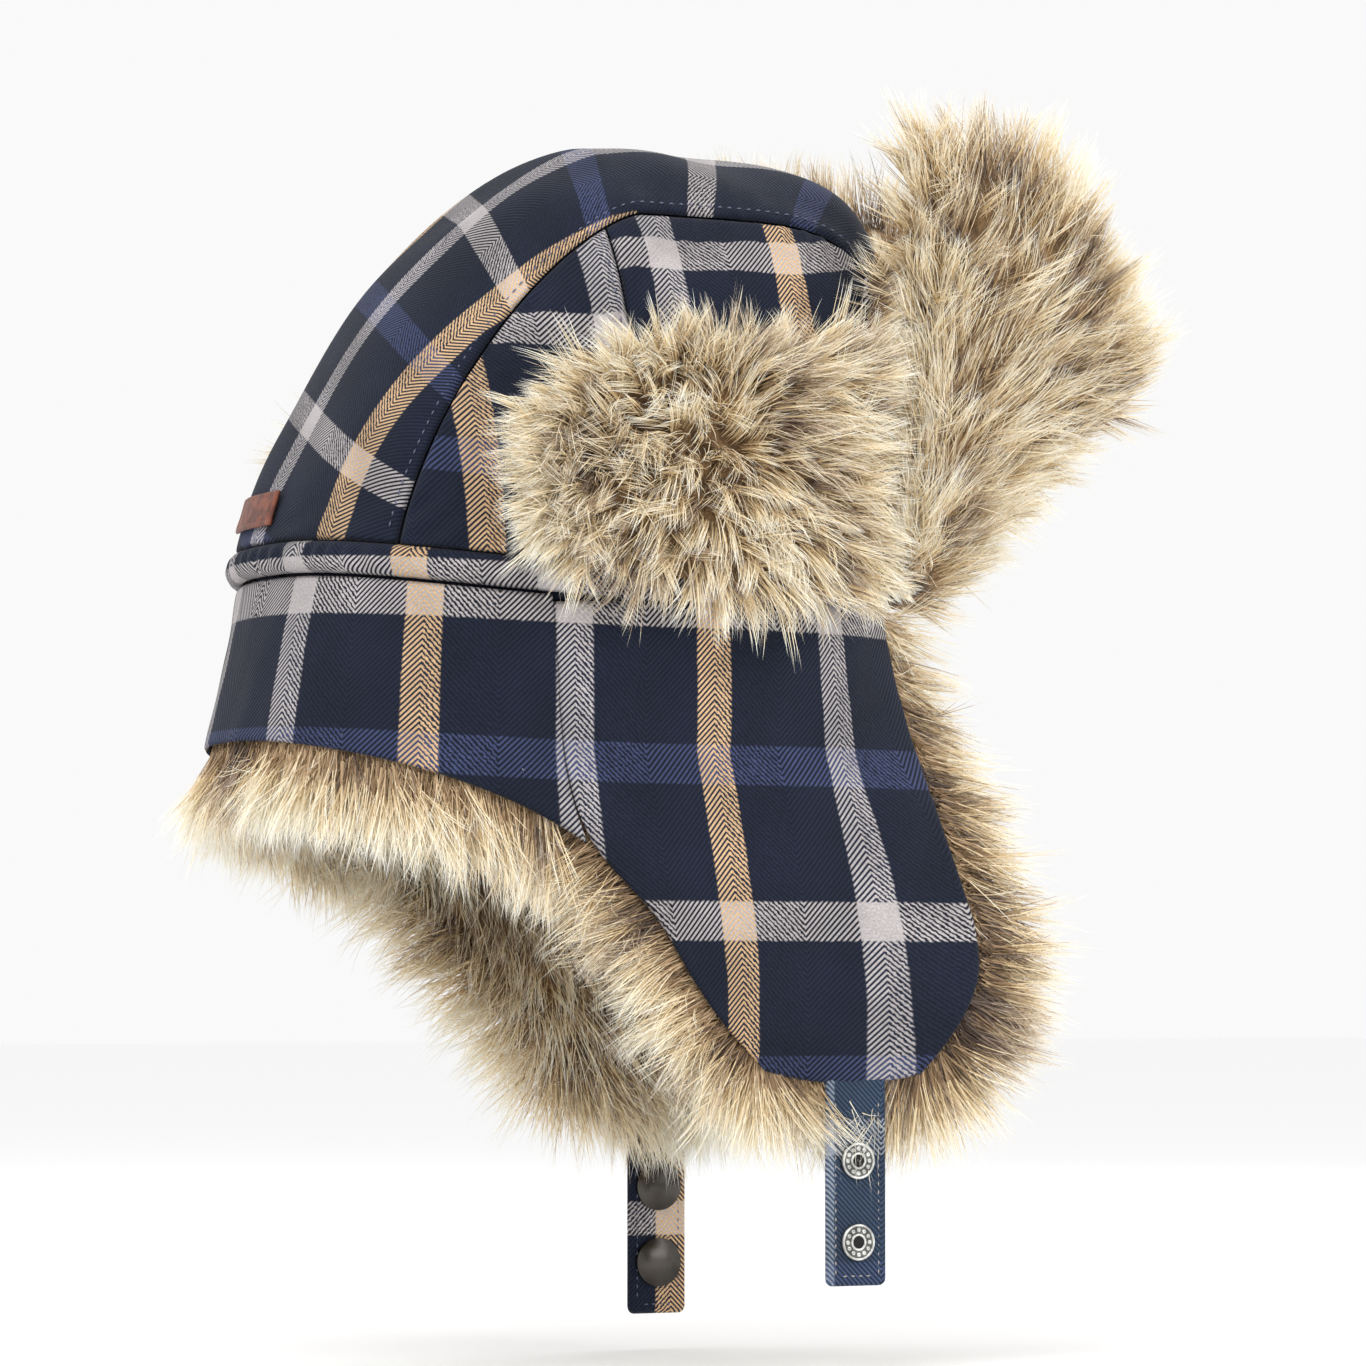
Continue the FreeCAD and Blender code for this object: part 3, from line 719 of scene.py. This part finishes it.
def fur_strands(name, root, lift, comb, length, seed, body, nodes=(), bend=None, clump=0.4,
                width=0.36, spread=0.3, tuft=9):
    """Tapered strands from root, leaving along lift and bending to comb, gathered into tufts."""
    draw = np.random.default_rng(seed)
    count = len(root)
    guides = draw.choice(count, max(8, count // tuft), replace=False)
    tree = kdtree.KDTree(len(guides))
    for i, g in enumerate(guides):
        tree.insert(root[g], i)
    tree.balance()
    own = np.array([tree.find(p)[1] for p in root])
    sway = draw.normal(size=(len(guides), 3)) * spread
    wander = points(waves(root, 30, seed + 1), waves(root, 30, seed + 2), waves(root, 30, seed + 3))
    start = unit(unit(lift) + sway[own] * 0.5 + draw.normal(size=root.shape) * 0.10)
    end = unit(unit(comb) + sway[own] + wander * 0.22 + draw.normal(size=root.shape) * 0.10)
    long = length * draw.uniform(0.78, 1.1, count) * draw.uniform(0.85, 1.12, len(guides))[own]
    long = long * np.where(draw.random(count) < 0.2, draw.uniform(0.4, 0.75, count), 1)
    stray = draw.random(count) < 0.12
    end = unit(end + stray[:, None] * draw.normal(size=root.shape) * 0.45)
    long = long * room_share(root, root + unit(start + end) * long[:, None] * 1.3)
    t = STRAND_LEVELS[None, :, None]
    path = root[:, None] + long[:, None, None] * (start[:, None] * (t - 0.5 * t * t)
                                                  + end[:, None] * 0.5 * t * t) * 1.25
    guide_path = path[guides][own]
    together = clump * t ** 1.4 * draw.uniform(0.55, 1.15, count)[:, None, None]
    path = mix(path, guide_path, np.clip(together, 0, 0.92))
    flow = unit(path[:, -1] - path[:, 0])
    side = unit(np.cross(flow, draw.normal(size=root.shape)))
    thick = width * draw.uniform(0.7, 1.25, count)[:, None] * np.array([1.0, 0.95, 0.75, 0.45])
    half = side[:, None] * thick[..., None] / 2
    pairs = np.stack([path[:, :4] - half, path[:, :4] + half], 2).reshape(count, 8, 3)
    p = np.concatenate([pairs, path[:, 4:]], 1).reshape(-1, 3)
    first = 9 * np.arange(count)[:, None, None]
    quads = (first + np.array([[0, 1, 3, 2], [2, 3, 5, 4], [4, 5, 7, 6]])).reshape(-1, 4)
    tips = (first + np.array([[6, 7, 8]])).reshape(-1, 3)
    mesh = raw_mesh(name, p, [quads, tips])
    patch = waves(root, 46, seed + 5) + 0.5 * waves(root, 17, seed + 6)
    tone = patch + draw.normal(size=count) * 0.42 + draw.normal(size=len(guides))[own] * 0.38
    shade = np.clip(np.digitize(tone, [-0.75, 0.35]), 0, 2)
    level = shade[:, None] * 4 + np.arange(4)
    index = np.concatenate([level[:, :3].ravel(), level[:, 3]]).astype(np.int32)
    mesh.polygons.foreach_set("material_index", index)
    return piece(name, mesh, fur_materials, body, nodes, bend)


def frame_at(surface, u, v, depth):
    """Point, inward direction and the two directions along a surface."""
    step = 0.004
    p = surface(u, v, depth)
    inward = unit(surface(u, v, depth + 1.0) - p)
    along_u = unit(surface(u + step, v, depth) - surface(u - step, v, depth))
    above, below = np.clip(v + step, 0, 1), np.clip(v - step, 0, 1)
    along_v = unit(surface(u, above, depth) - surface(u, below, depth))
    return p, inward, along_u, along_v


def column(a):
    return np.asarray(a)[..., None]


def near(distance, reach):
    return column(np.exp(-distance / reach))


def pile(surface, depths, count, seed, size, edges=(0, 1, 2)):
    """Roots and directions of a fur panel; size is its rough width and height, edges its bushy ones."""
    draw = np.random.default_rng(seed)
    rim = draw.random(count) < 0.45
    u, v = draw.random(count), draw.random(count)
    band_u, band_v = 9 / size[0], 9 / size[1]
    edge = draw.choice(edges, count)
    from_edge = draw.random(count) ** 1.5
    u = np.where(rim & (edge == 0), from_edge * band_u, u)
    u = np.where(rim & (edge == 1), 1 - from_edge * band_u, u)
    v = np.where(rim & (edge == 2), 1 - from_edge * band_v, v)
    deep = draw.uniform(0, 1, count)
    depth = np.where(rim, mix(depths[0], depths[1], deep * 0.75), mix(depths[0], depths[1], 0.35 * deep))
    p, inward, along_u, along_v = frame_at(surface, u, v, depth)
    rear, front, low = near(u * size[0], 10), near((1 - u) * size[0], 10), near((1 - v) * size[1], 12)
    return u, v, p, inward, along_u, along_v, rear, front, low


DOWN = np.array([0.0, 0.0, -1.0])


def flip(values, mirror):
    return values * np.array([-1.0 if mirror else 1.0, 1.0, 1.0])


# ---- the crown ----
def seam_relief(seed, puckered=1.0):
    """Soft cloth: slow swells, and small gathers that die away from the seams."""
    def relief(u, v, p):
        gap = edge_distance(p)
        swell = 1.3 * waves(p, 50, seed) * smooth(gap / 14)
        run = p[..., 1] * 0.8 + p[..., 2] * 0.6
        gather = np.sin(run * 2 * pi / 8.5 + 2.2 * waves(p, 30, seed + 1))
        return swell + puckered * 0.8 * gather * np.exp(-gap / 9) * smooth(gap / 2.5)

    return relief


def strip_cloth(u, v, p):
    """Warp runs over the head, and drifts to the right from the nape to the top."""
    middle = p[p.shape[0] // 2]
    run = np.concatenate([[0], np.cumsum(np.linalg.norm(np.diff(middle, axis=0), axis=1))])
    top = np.interp(0, -middle[::-1, 1][::-1] if middle[0, 1] > 0 else middle[:, 1], run)
    back = np.broadcast_to(run - top, p.shape[:2])
    drift = 30 * np.where(p[..., 1] > 0, smooth((p[..., 2] - 10) / 130), 1)
    return p[..., 0] + 38 + STRIPE_PITCH + drift, back + 0.4 * (p[..., 0] + 60) + 26


def side_cloth(warp_shift, weft_shift):
    def cloth(u, v, p):
        return girth_at(p[..., 1]) + warp_shift, along(p, 1) + weft_shift
    return cloth


def build_crown():
    cloth_piece("crown_top_panel", crown_strip, (70, 190), CLOTH, 2.0, "crown",
                ["crown_top_strip"], cloth_material, strip_cloth, seam_relief(3, 0.6))
    front = side_panel(None, SIDE_SEAM_Y - SEAM_GAP)
    rear = side_panel(SIDE_SEAM_Y + SEAM_GAP, None)
    whole = side_panel(None, None)
    for mirror, side in ((False, "left"), (True, "right")):
        cloth_piece("crown_front_panel_" + side, front, (80, 80), CLOTH, 2.0, "crown",
                    ["crown_front_side_" + side], cloth_material,
                    side_cloth(-girth_at(np.array(-3.0)), -104), seam_relief(5), mirror)
        cloth_piece("crown_rear_panel_" + side, rear, (80, 80), CLOTH, 2.0, "crown",
                    ["crown_rear_side_" + side], cloth_material,
                    side_cloth(-girth_at(np.array(18.0)), -76), seam_relief(7), mirror)
        cloth_piece("crown_side_quilting_" + side, whole, (100, 80), LINING, 1.5, "crown",
                    ["crown_side_lining_" + side, "crown_side_wadding_" + side],
                    lining_material, None, quilting, mirror)
    cloth_piece("crown_top_quilting", crown_strip, (70, 170), LINING, 1.5, "crown",
                ["crown_top_lining", "crown_top_wadding"], lining_material, None, quilting)
    crown_stitching(rear)


def quilting(u, v, p):
    """Diamond quilting: sewn lines pull the lining towards the cloth."""
    first = (p[..., 1] + p[..., 2]) / QUILT_PITCH
    second = (p[..., 1] - p[..., 2]) / QUILT_PITCH
    line = np.minimum(np.abs(np.sin(first * pi)), np.abs(np.sin(second * pi)))
    return 0.9 * np.exp(-line * 7) - 0.5


def crown_stitching(rear):
    """Topstitching beside the strip's seams and the side seams."""
    line = np.linspace(0.01, 0.99, 400)
    strip_place = np.full(line.shape, 1 - STITCH_INSET / (2 * STRIP_HALF))
    rear_place = np.full(line.shape, 0.03)
    for mirror, side in ((False, "left"), (True, "right")):
        runs = [surface_line(crown_strip, strip_place, line, -0.25, mirror),
                surface_line(rear, rear_place, line, -0.25, mirror)]
        dashes("crown_topstitch_" + side, runs, "crown", dark_thread)


# ---- the band ----
def casing_relief(u, v, p):
    run = girth(np.arctan2(p[..., 0], p[..., 1])) * np.sign(p[..., 0])
    ripple = np.sin(run * 2 * pi / 7.5 + 2.5 * waves(p, 40, 21)) * (0.45 + 0.3 * waves(p, 55, 22))
    return ripple * np.sin(pi * v)


def band_cloth(shift):
    def cloth(u, v, p):
        sag = 5 * (p[..., 1] / BACK_REACH) ** 2
        return girth(np.arctan2(p[..., 0], p[..., 1])) + shift, p[..., 2] + 9 - sag
    return cloth


def build_band():
    turn = CASING_HALF_TURN
    whole = 2 * pi
    cloth_piece("elastic_casing_cloth", band_surface(-turn, turn, 0.2, BAND_HEIGHT - 0.2, CASING_PUFF),
                (320, 16), (0.0, 4.4), 2.4, "crown", ["elastic_casing", "elastic_tape"],
                cloth_material, band_cloth(MANTLE_SHIFT + 6), casing_relief)
    brow = band_surface(turn + 0.01, whole - turn - 0.01, -0.8, BAND_HEIGHT - 0.3)
    cloth_piece("brow_band_cloth", brow, (160, 12), CLOTH, 1.6, "crown",
                ["brow_band"], cloth_material, band_cloth(MANTLE_SHIFT))
    cloth_piece("sweatband_cloth", band_surface(0.02, whole - 0.02, *SWEATBAND_SPAN),
                (260, 14), (7.4, 8.4), 1.0, "crown", ["sweatband"], twill_tape)
    tag = cloth_piece("care_tag", care_surface, (24, 20), CARE_TAG, 0.2, "crown",
                      ["care_label"], label_tape)
    height = along(care_surface(*grid(3, 30), CARE_TAG[0]), 1)[1, -1]


def care_surface(u, v, depth):
    """Label on the lining at the back of the crown."""
    x = mix(-CARE_HALF_WIDTH, CARE_HALF_WIDTH, u)
    return on_crown(seam_point(x, mix(*CARE_TURN, v)), depth)


# ---- neck curtain and ear flaps ----
MANTLE_SHIFT = -float(girth_at(np.array(36.0)))
WEFT_TOP = 15.0


def mantle_cloth(u, v, p):
    """Warp runs down the mantle and leans forward on the flaps; weft stays level."""
    z, y = p[..., 2], p[..., 1]
    lean = 0.24 * np.maximum(-z - 60, 0) * smooth((60 - y) / 60)
    side = girth(np.arctan2(p[..., 0], y))
    sag = 5 * (np.maximum(y, 0) / BACK_REACH) ** 2
    return (side + MANTLE_SHIFT - lean) * 0.97, (z + WEFT_TOP - sag) * 0.93


def mantle_relief(u, v, p):
    """Soft swells that die away at the fold of the neck curtain and the flaps."""
    fold = smooth((tuck_z(p[..., 1]) - p[..., 2]) / 14)
    return (0.8 * waves(p, 60, 31) + 0.35 * waves(p, 24, 32)) * fold


def build_curtain():
    cloth_piece("neck_curtain_cloth", curtain_cloth_surface, (240, 50), CLOTH, 2.2, "crown",
                ["neck_curtain_shell", "neck_curtain_wadding"], cloth_material,
                mantle_cloth, mantle_relief, joined="curtain")
    backing = curtain_surface(FUR_TURN, 5.0, -3.0)
    cloth_piece("neck_curtain_fur_backing", backing, (120, 30), (4.2, 9.0), 3.0, "crown",
                ["neck_curtain_fur"], fur_backing, None, tufted(41))
    fur = curtain_surface(FUR_TURN, 5.0, 4.0)
    u, v, p, inward, along_u, along_v, rear, front, low = pile(
        fur, (2.6, 11), 26000, 51, (230, 50), (2,))
    low = near((1 - v) * 50, 15)
    lift = inward * (1 - 0.9 * low) * 0.8 + along_v * 0.7 - inward * low * 0.25
    comb = along_v * 1.0 + DOWN * 0.4 + inward * 0.35 * (1 - low) - inward * low * 0.12
    fur_strands("neck_curtain_pile", p, lift, comb, mix(20.0, 27.0, low[:, 0]), 61, "crown")


def tufted(seed):
    def relief(u, v, p):
        return 1.1 * waves(p, 12, seed) + 0.6 * waves(p, 5, seed + 1)
    return relief


def part_of(surface, across, down):
    return lambda u, v, depth: surface(mix(*across, u), np.clip(mix(*down, v), 0, 1), depth)


def build_flaps():
    """Ear flaps: cloth, fur backing and fur for each side, left unattached in place."""
    shell = flap_surface(FLAP_REAR, FLAP_FRONT)
    rooted = part_of(flap_surface(FLAP_REAR, ROOT_FRONT), (0.0, 1.01), (0.0, 1.0))
    inner = part_of(shell, (0.04, 0.96), (0.04, 0.97))
    for mirror, side in ((False, "left"), (True, "right")):
        body = side + "_flap"
        bend = ((0, 0.034, 0), (0, -0.006, 0))
        cloth_piece(side + "_ear_flap_cloth", shell, (110, 130), CLOTH, 2.2, body,
                    [side + "_ear_flap_shell", side + "_ear_flap_wadding"], cloth_material, mantle_cloth,
                    mantle_relief, mirror, bend, "flap")
        cloth_piece(side + "_ear_flap_fur_backing", inner, (60, 70), (4.2, 9.0), 3.5, body,
                    [side + "_ear_flap_fur"], fur_backing, None, tufted(43), mirror, bend)
        u, v, p, inward, along_u, along_v, rear, front, low = pile(
            rooted, (2.6, 12), 28000, 53, (130, 145), (0, 1, 1, 2))
        rear = rear * column(smooth((HEM_CORNER + 8 - p[..., 2]) / 14))
        rim = np.clip(rear + front + low, 0, 1)
        forward = along_u * 0.45 + np.array([0, -0.8, 0])
        out = (forward * front - along_u * rear) * 1.1 + along_v * low * 1.2
        lift = inward * (0.85 - 0.95 * rim) + DOWN * 0.35 + out * 1.1
        comb = DOWN * (0.7 - 0.3 * front) + out * 1.3 + inward * (0.35 - 0.5 * rim)
        fur_strands(side + "_ear_flap_pile", flip(p, mirror), flip(lift, mirror), flip(comb, mirror),
                    mix(23.0, 29.0, rim[:, 0]), 63 + mirror, body, (), bend)


# ---- the visor ----
def build_visor():
    """Turned-up front: its fur fans out, with a notch in each half of the top edge."""
    sheet = visor_surface(0.97, 1.0)
    cloth_piece("visor_cloth", sheet, (120, 60), CLOTH, 2.0, "visor",
                ["visor_shell", "visor_interlining"], cloth_material,
                lambda u, v, p: (p[..., 0] + 20, along(p, 1) + 10), None)
    fur = visor_surface(0.97, 1.1, 0.02)
    cloth_piece("visor_fur_backing", fur, (80, 50), (3.6, 8.6), 3.0, "visor", ["visor_fur"],
                fur_backing, None, tufted(45))
    u, v, p, inward, along_u, along_v, rear, front, low = pile(fur, (4.2, 11.5), 28000, 55, (150, 118))
    rim = np.clip(rear + front + low, 0, 1)
    spread = along_u * (front - rear) * 0.9 + along_v * low * 0.5 + along_u * column(u - 0.5) * 0.7
    lift = inward * (0.9 - 0.6 * rim) + along_v * 0.5 + spread
    comb = along_v * 0.9 + spread + inward * (0.45 - 0.2 * rim)
    notch = 1 - 0.4 * np.exp(-((np.abs(2 * u - 1) - 0.5) / 0.13) ** 2) * low[:, 0]
    fur_strands("visor_pile", p, lift, comb, mix(22.0, 26.0, rim[:, 0]) * notch, 65, "visor",
                spread=0.4, tuft=14)


def build_wings():
    """Visor wings on the temples: the fur spreads from the middle of each."""
    shell, fur = wing_surface(0.0), wing_surface(3.0)
    for mirror, side in ((False, "left"), (True, "right")):
        cloth_piece("visor_wing_cloth_" + side, shell, (60, 40), (-3.6, -5.2), 1.5, "crown",
                    ["visor_wing_shell_" + side, "visor_wing_interlining_" + side],
                    cloth_material, lambda u, v, p: (p[..., 1], p[..., 2]), None, mirror)
        cloth_piece("visor_wing_fur_backing_" + side, fur, (60, 40), (-6.9, -10.5), 3.0, "crown",
                    ["visor_wing_fur_" + side], fur_backing, None, tufted(47), mirror)
        u, v, p, inward, along_u, along_v, rear, front, low = pile(
            fur, (-7.0, -11.0), 24000, 57, (116, 75))
        centre = np.array([88.0, -14.0, 34.0])
        radial = (p - centre) * [0, 1, 1]
        far = column(np.clip(np.linalg.norm(radial, axis=-1) / 45, 0, 1))
        outward = -inward
        lift = outward * (1.0 - 0.55 * far) + unit(radial) * 0.6 * far
        comb = unit(radial) * (0.35 + 0.75 * far) + outward * (0.45 - 0.25 * far) + DOWN * 0.35
        under_fan = smooth((0.24 - u) / 0.2)
        fur_strands("visor_wing_pile_" + side, flip(p, mirror), flip(lift, mirror), flip(comb, mirror),
                    mix(18.0, 23.0, far[:, 0]) * (1 - 0.6 * under_fan), 67 + mirror, "crown",
                    spread=0.5, tuft=16)


# ---- straps and trim ----
def strap_surface(low, high, side):
    middle, inner = (low + high) / 2, np.array([low[0], high[0]])
    outer_x, inner_x = (inner[0], inner[1]) if side < 0 else (inner[1], inner[0])

    def surface(u, v, depth):
        y = mix(high[1], low[1], u)
        half = (high[1] - low[1]) / 2
        corner = np.maximum(0, np.abs(y - middle[1]) - half + STRAP_CORNER)
        bottom = low[2] + STRAP_CORNER - np.sqrt(np.maximum(STRAP_CORNER ** 2 - corner ** 2, 0))
        z = mix(bottom, high[2] + 5, v)
        x = outer_x + (inner_x - outer_x) * depth / abs(inner_x - outer_x)
        return points(x, y, z)

    return surface


def build_straps():
    for name, side, material, shift in (("right_strap", -1, faded_cloth, (-14.0, 122.0)),
                                        ("left_strap", 1, cloth_material, (50.6, 153.0))):
        low, high = millimetres(name)
        surface = strap_surface(low, high, side)
        cloth_piece(name + "_cloth", surface, (30, 90), (0.0, 2.4), 1.0, name, [name],
                    material, lambda u, v, p, s=shift: (p[..., 1] + 71 + s[0], p[..., 2] + 60 + s[1]),
                    lambda u, v, p: 0.25 * waves(p, 16, 71) * smooth(edge_distance(p) / 3))
        inset = 3.2
        z = np.linspace(high[2], low[2] + inset, 120)
        across = np.linspace(low[1] + inset, high[1] - inset, 40)
        runs = []
        for x, out in ((low[0], -1.0), (high[0], 1.0)):
            outward = np.array([out, 0, 0])
            for line in (points(x, low[1] + inset, z), points(x, high[1] - inset, z),
                         points(x, across, low[2] + inset)):
                runs.append((line + outward * 0.1, np.broadcast_to(outward, line.shape)))
        dashes(name + "_stitching", runs, name, thread if side < 0 else dark_thread,
               1.9, 2.8, 0.28)


def ring(centre, radius, tube, count=36, around=8):
    """Points and faces of a ring that faces along X."""
    turn, roll = np.meshgrid(np.arange(count) * 2 * pi / count, np.arange(around) * 2 * pi / around,
                             indexing="ij")
    reach = radius + tube * np.cos(roll)
    p = points(tube * np.sin(roll), reach * np.cos(turn), reach * np.sin(turn)) + centre
    number = np.arange(count * around).reshape(count, around)
    onward, over = np.roll(number, -1, 0), np.roll(number, -1, 1)
    faces = np.stack([number, onward, np.roll(onward, -1, 1), over], -1)
    return p.reshape(-1, 3), faces.reshape(-1, 4)


def build_snap_rings():
    """Rolled edges and beads on the open rings of the right strap, and a near-black disc of painted
    shade in each ring's hole.
    """
    low, high = millimetres("right_strap_ring_posts")
    radius = (high[1] - low[1]) / 2
    middle_y, face = (low[1] + high[1]) / 2, low[0]
    all_points, all_faces, shade_disc_points, count = [], [], [], 0
    turns = np.arange(24) * 2 * pi / 24
    for z in (low[2] + radius, high[2] - radius):
        centre = np.array([face, middle_y, z])
        shapes = [ring(centre, radius * 0.40, radius * 0.08), ring(centre, radius * 0.91, radius * 0.08)]
        for turn in np.arange(12) * 2 * pi / 12:
            spot = centre + np.array([0, cos(turn), sin(turn)]) * radius * 0.66
            shapes.append(ring(spot, radius * 0.07, radius * 0.07, 10, 6))
        for p, faces in shapes:
            all_points.append(p)
            all_faces.append(faces + count)
            count += len(p)
        # a near-black disc in each ring's hole: painted shade, not a part of the strap
        shade_disc_points.append(points(np.full(turns.shape, -0.1), radius * 0.34 * np.cos(turns),
                                    radius * 0.34 * np.sin(turns)) + centre)
    disc_corners = np.arange(turns.size * len(shade_disc_points)).reshape(-1, turns.size)
    shade_discs = raw_mesh("right_strap_painted_shade_discs", np.concatenate(shade_disc_points), [disc_corners])
    piece("right_strap_painted_shade_discs", shade_discs, [painted_shade_disc], "right_strap")
    mesh = raw_mesh("right_strap_ring_beading", np.concatenate(all_points), [np.concatenate(all_faces)])
    piece("right_strap_ring_beading", mesh, [silver_metal], "right_strap")


def build_label():
    low, high = millimetres("leather_label")

    def surface(u, v, depth):
        x, z = mix(low[0], high[0], u), mix(low[2], high[2], v)
        tilts = np.linspace(radians(1), radians(60), 600)
        tilt = np.empty_like(x)
        for column_x in np.unique(x):
            rows = x == column_x
            heights = seam_point(np.full(tilts.shape, column_x), tilts)[:, 2]
            tilt[rows] = np.interp(z[rows], heights, tilts)
        return on_crown(seam_point(x, tilt), depth)

    def pressed(u, v, p):
        gap = edge_distance(p)
        return -0.28 * np.exp(-((gap - 2.0) / 0.55) ** 2) + 0.1 * waves(p, 6, 81)

    cloth_piece("leather_patch", surface, (70, 34), (-1.9, -0.4), 0.8, "crown",
                ["leather_label"], leather, None, pressed)


# ---- finishes of the metal that stays as it is in the frame ----
def finish_metal():
    for node, metal in (("right_strap_ring_posts", plate_metal), ("right_strap_studs", dark_metal),
                        ("left_strap_caps", dark_metal), ("left_strap_sockets", silver_metal)):
        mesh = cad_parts[node].data
        mesh.materials.clear()
        mesh.materials.append(metal)


# ---- floor, light and camera ----
def build_stage():
    low = cad_box[0]
    corners = np.array([[-1, -1, 0], [1, -1, 0], [1, 1, 0], [-1, 1, 0]]) * FLOOR_HALF
    floor_mesh = raw_mesh("floor", corners, [np.array([[0, 1, 2, 3]])])
    floor = bpy.data.objects.new("floor", floor_mesh)
    floor.location.z = low.z - 0.012
    bpy.context.scene.collection.objects.link(floor)
    floor_mesh.materials.append(plain("floor_white", (0.97, 0.97, 0.97, 1), 1.0))
    world = bpy.data.worlds.new("studio")
    world.use_nodes = True
    world.node_tree.nodes["Background"].inputs[0].default_value = (1, 1, 1, 1)
    world.node_tree.nodes["Background"].inputs[1].default_value = 0.95
    bpy.context.scene.world = world
    target = (cad_box[0] + cad_box[1]) / 2
    for name, place, size, power in (("key", (-0.9, 1.0, 1.3), 0.9, 11.0),
                                     ("side", (-1.5, -0.7, 0.5), 1.0, 6.0),
                                     ("front", (0.7, -1.2, 0.9), 1.0, 5.0)):
        lamp = bpy.data.lights.new(name, "AREA")
        lamp.size, lamp.energy = size, power
        thing = bpy.data.objects.new(name, lamp)
        thing.location = target + Vector(place)
        thing.rotation_mode = "QUATERNION"
        thing.rotation_quaternion = (target - thing.location).to_track_quat("-Z", "Y")
        bpy.context.scene.collection.objects.link(thing)


def build_camera():
    lens = bpy.data.cameras.new("camera")
    lens.lens, lens.sensor_width, lens.clip_start = 150, 36, 0.05
    thing = bpy.data.objects.new("camera", lens)
    level = cos(CAMERA_ELEVATION)
    back = Vector((sin(CAMERA_AZIMUTH) * level, -cos(CAMERA_AZIMUTH) * level, sin(CAMERA_ELEVATION)))
    thing.location = CAMERA_TARGET + back * CAMERA_DISTANCE
    thing.rotation_mode = "QUATERNION"
    thing.rotation_quaternion = (-back).to_track_quat("-Z", "Y")
    bpy.context.scene.collection.objects.link(thing)
    bpy.context.scene.camera = thing
    bpy.context.scene.view_settings.view_transform = "Standard"


build_stage()
build_camera()
build_crown()
build_band()
build_curtain()
build_flaps()
build_visor()
build_wings()
build_straps()
build_snap_rings()
build_label()
finish_metal()
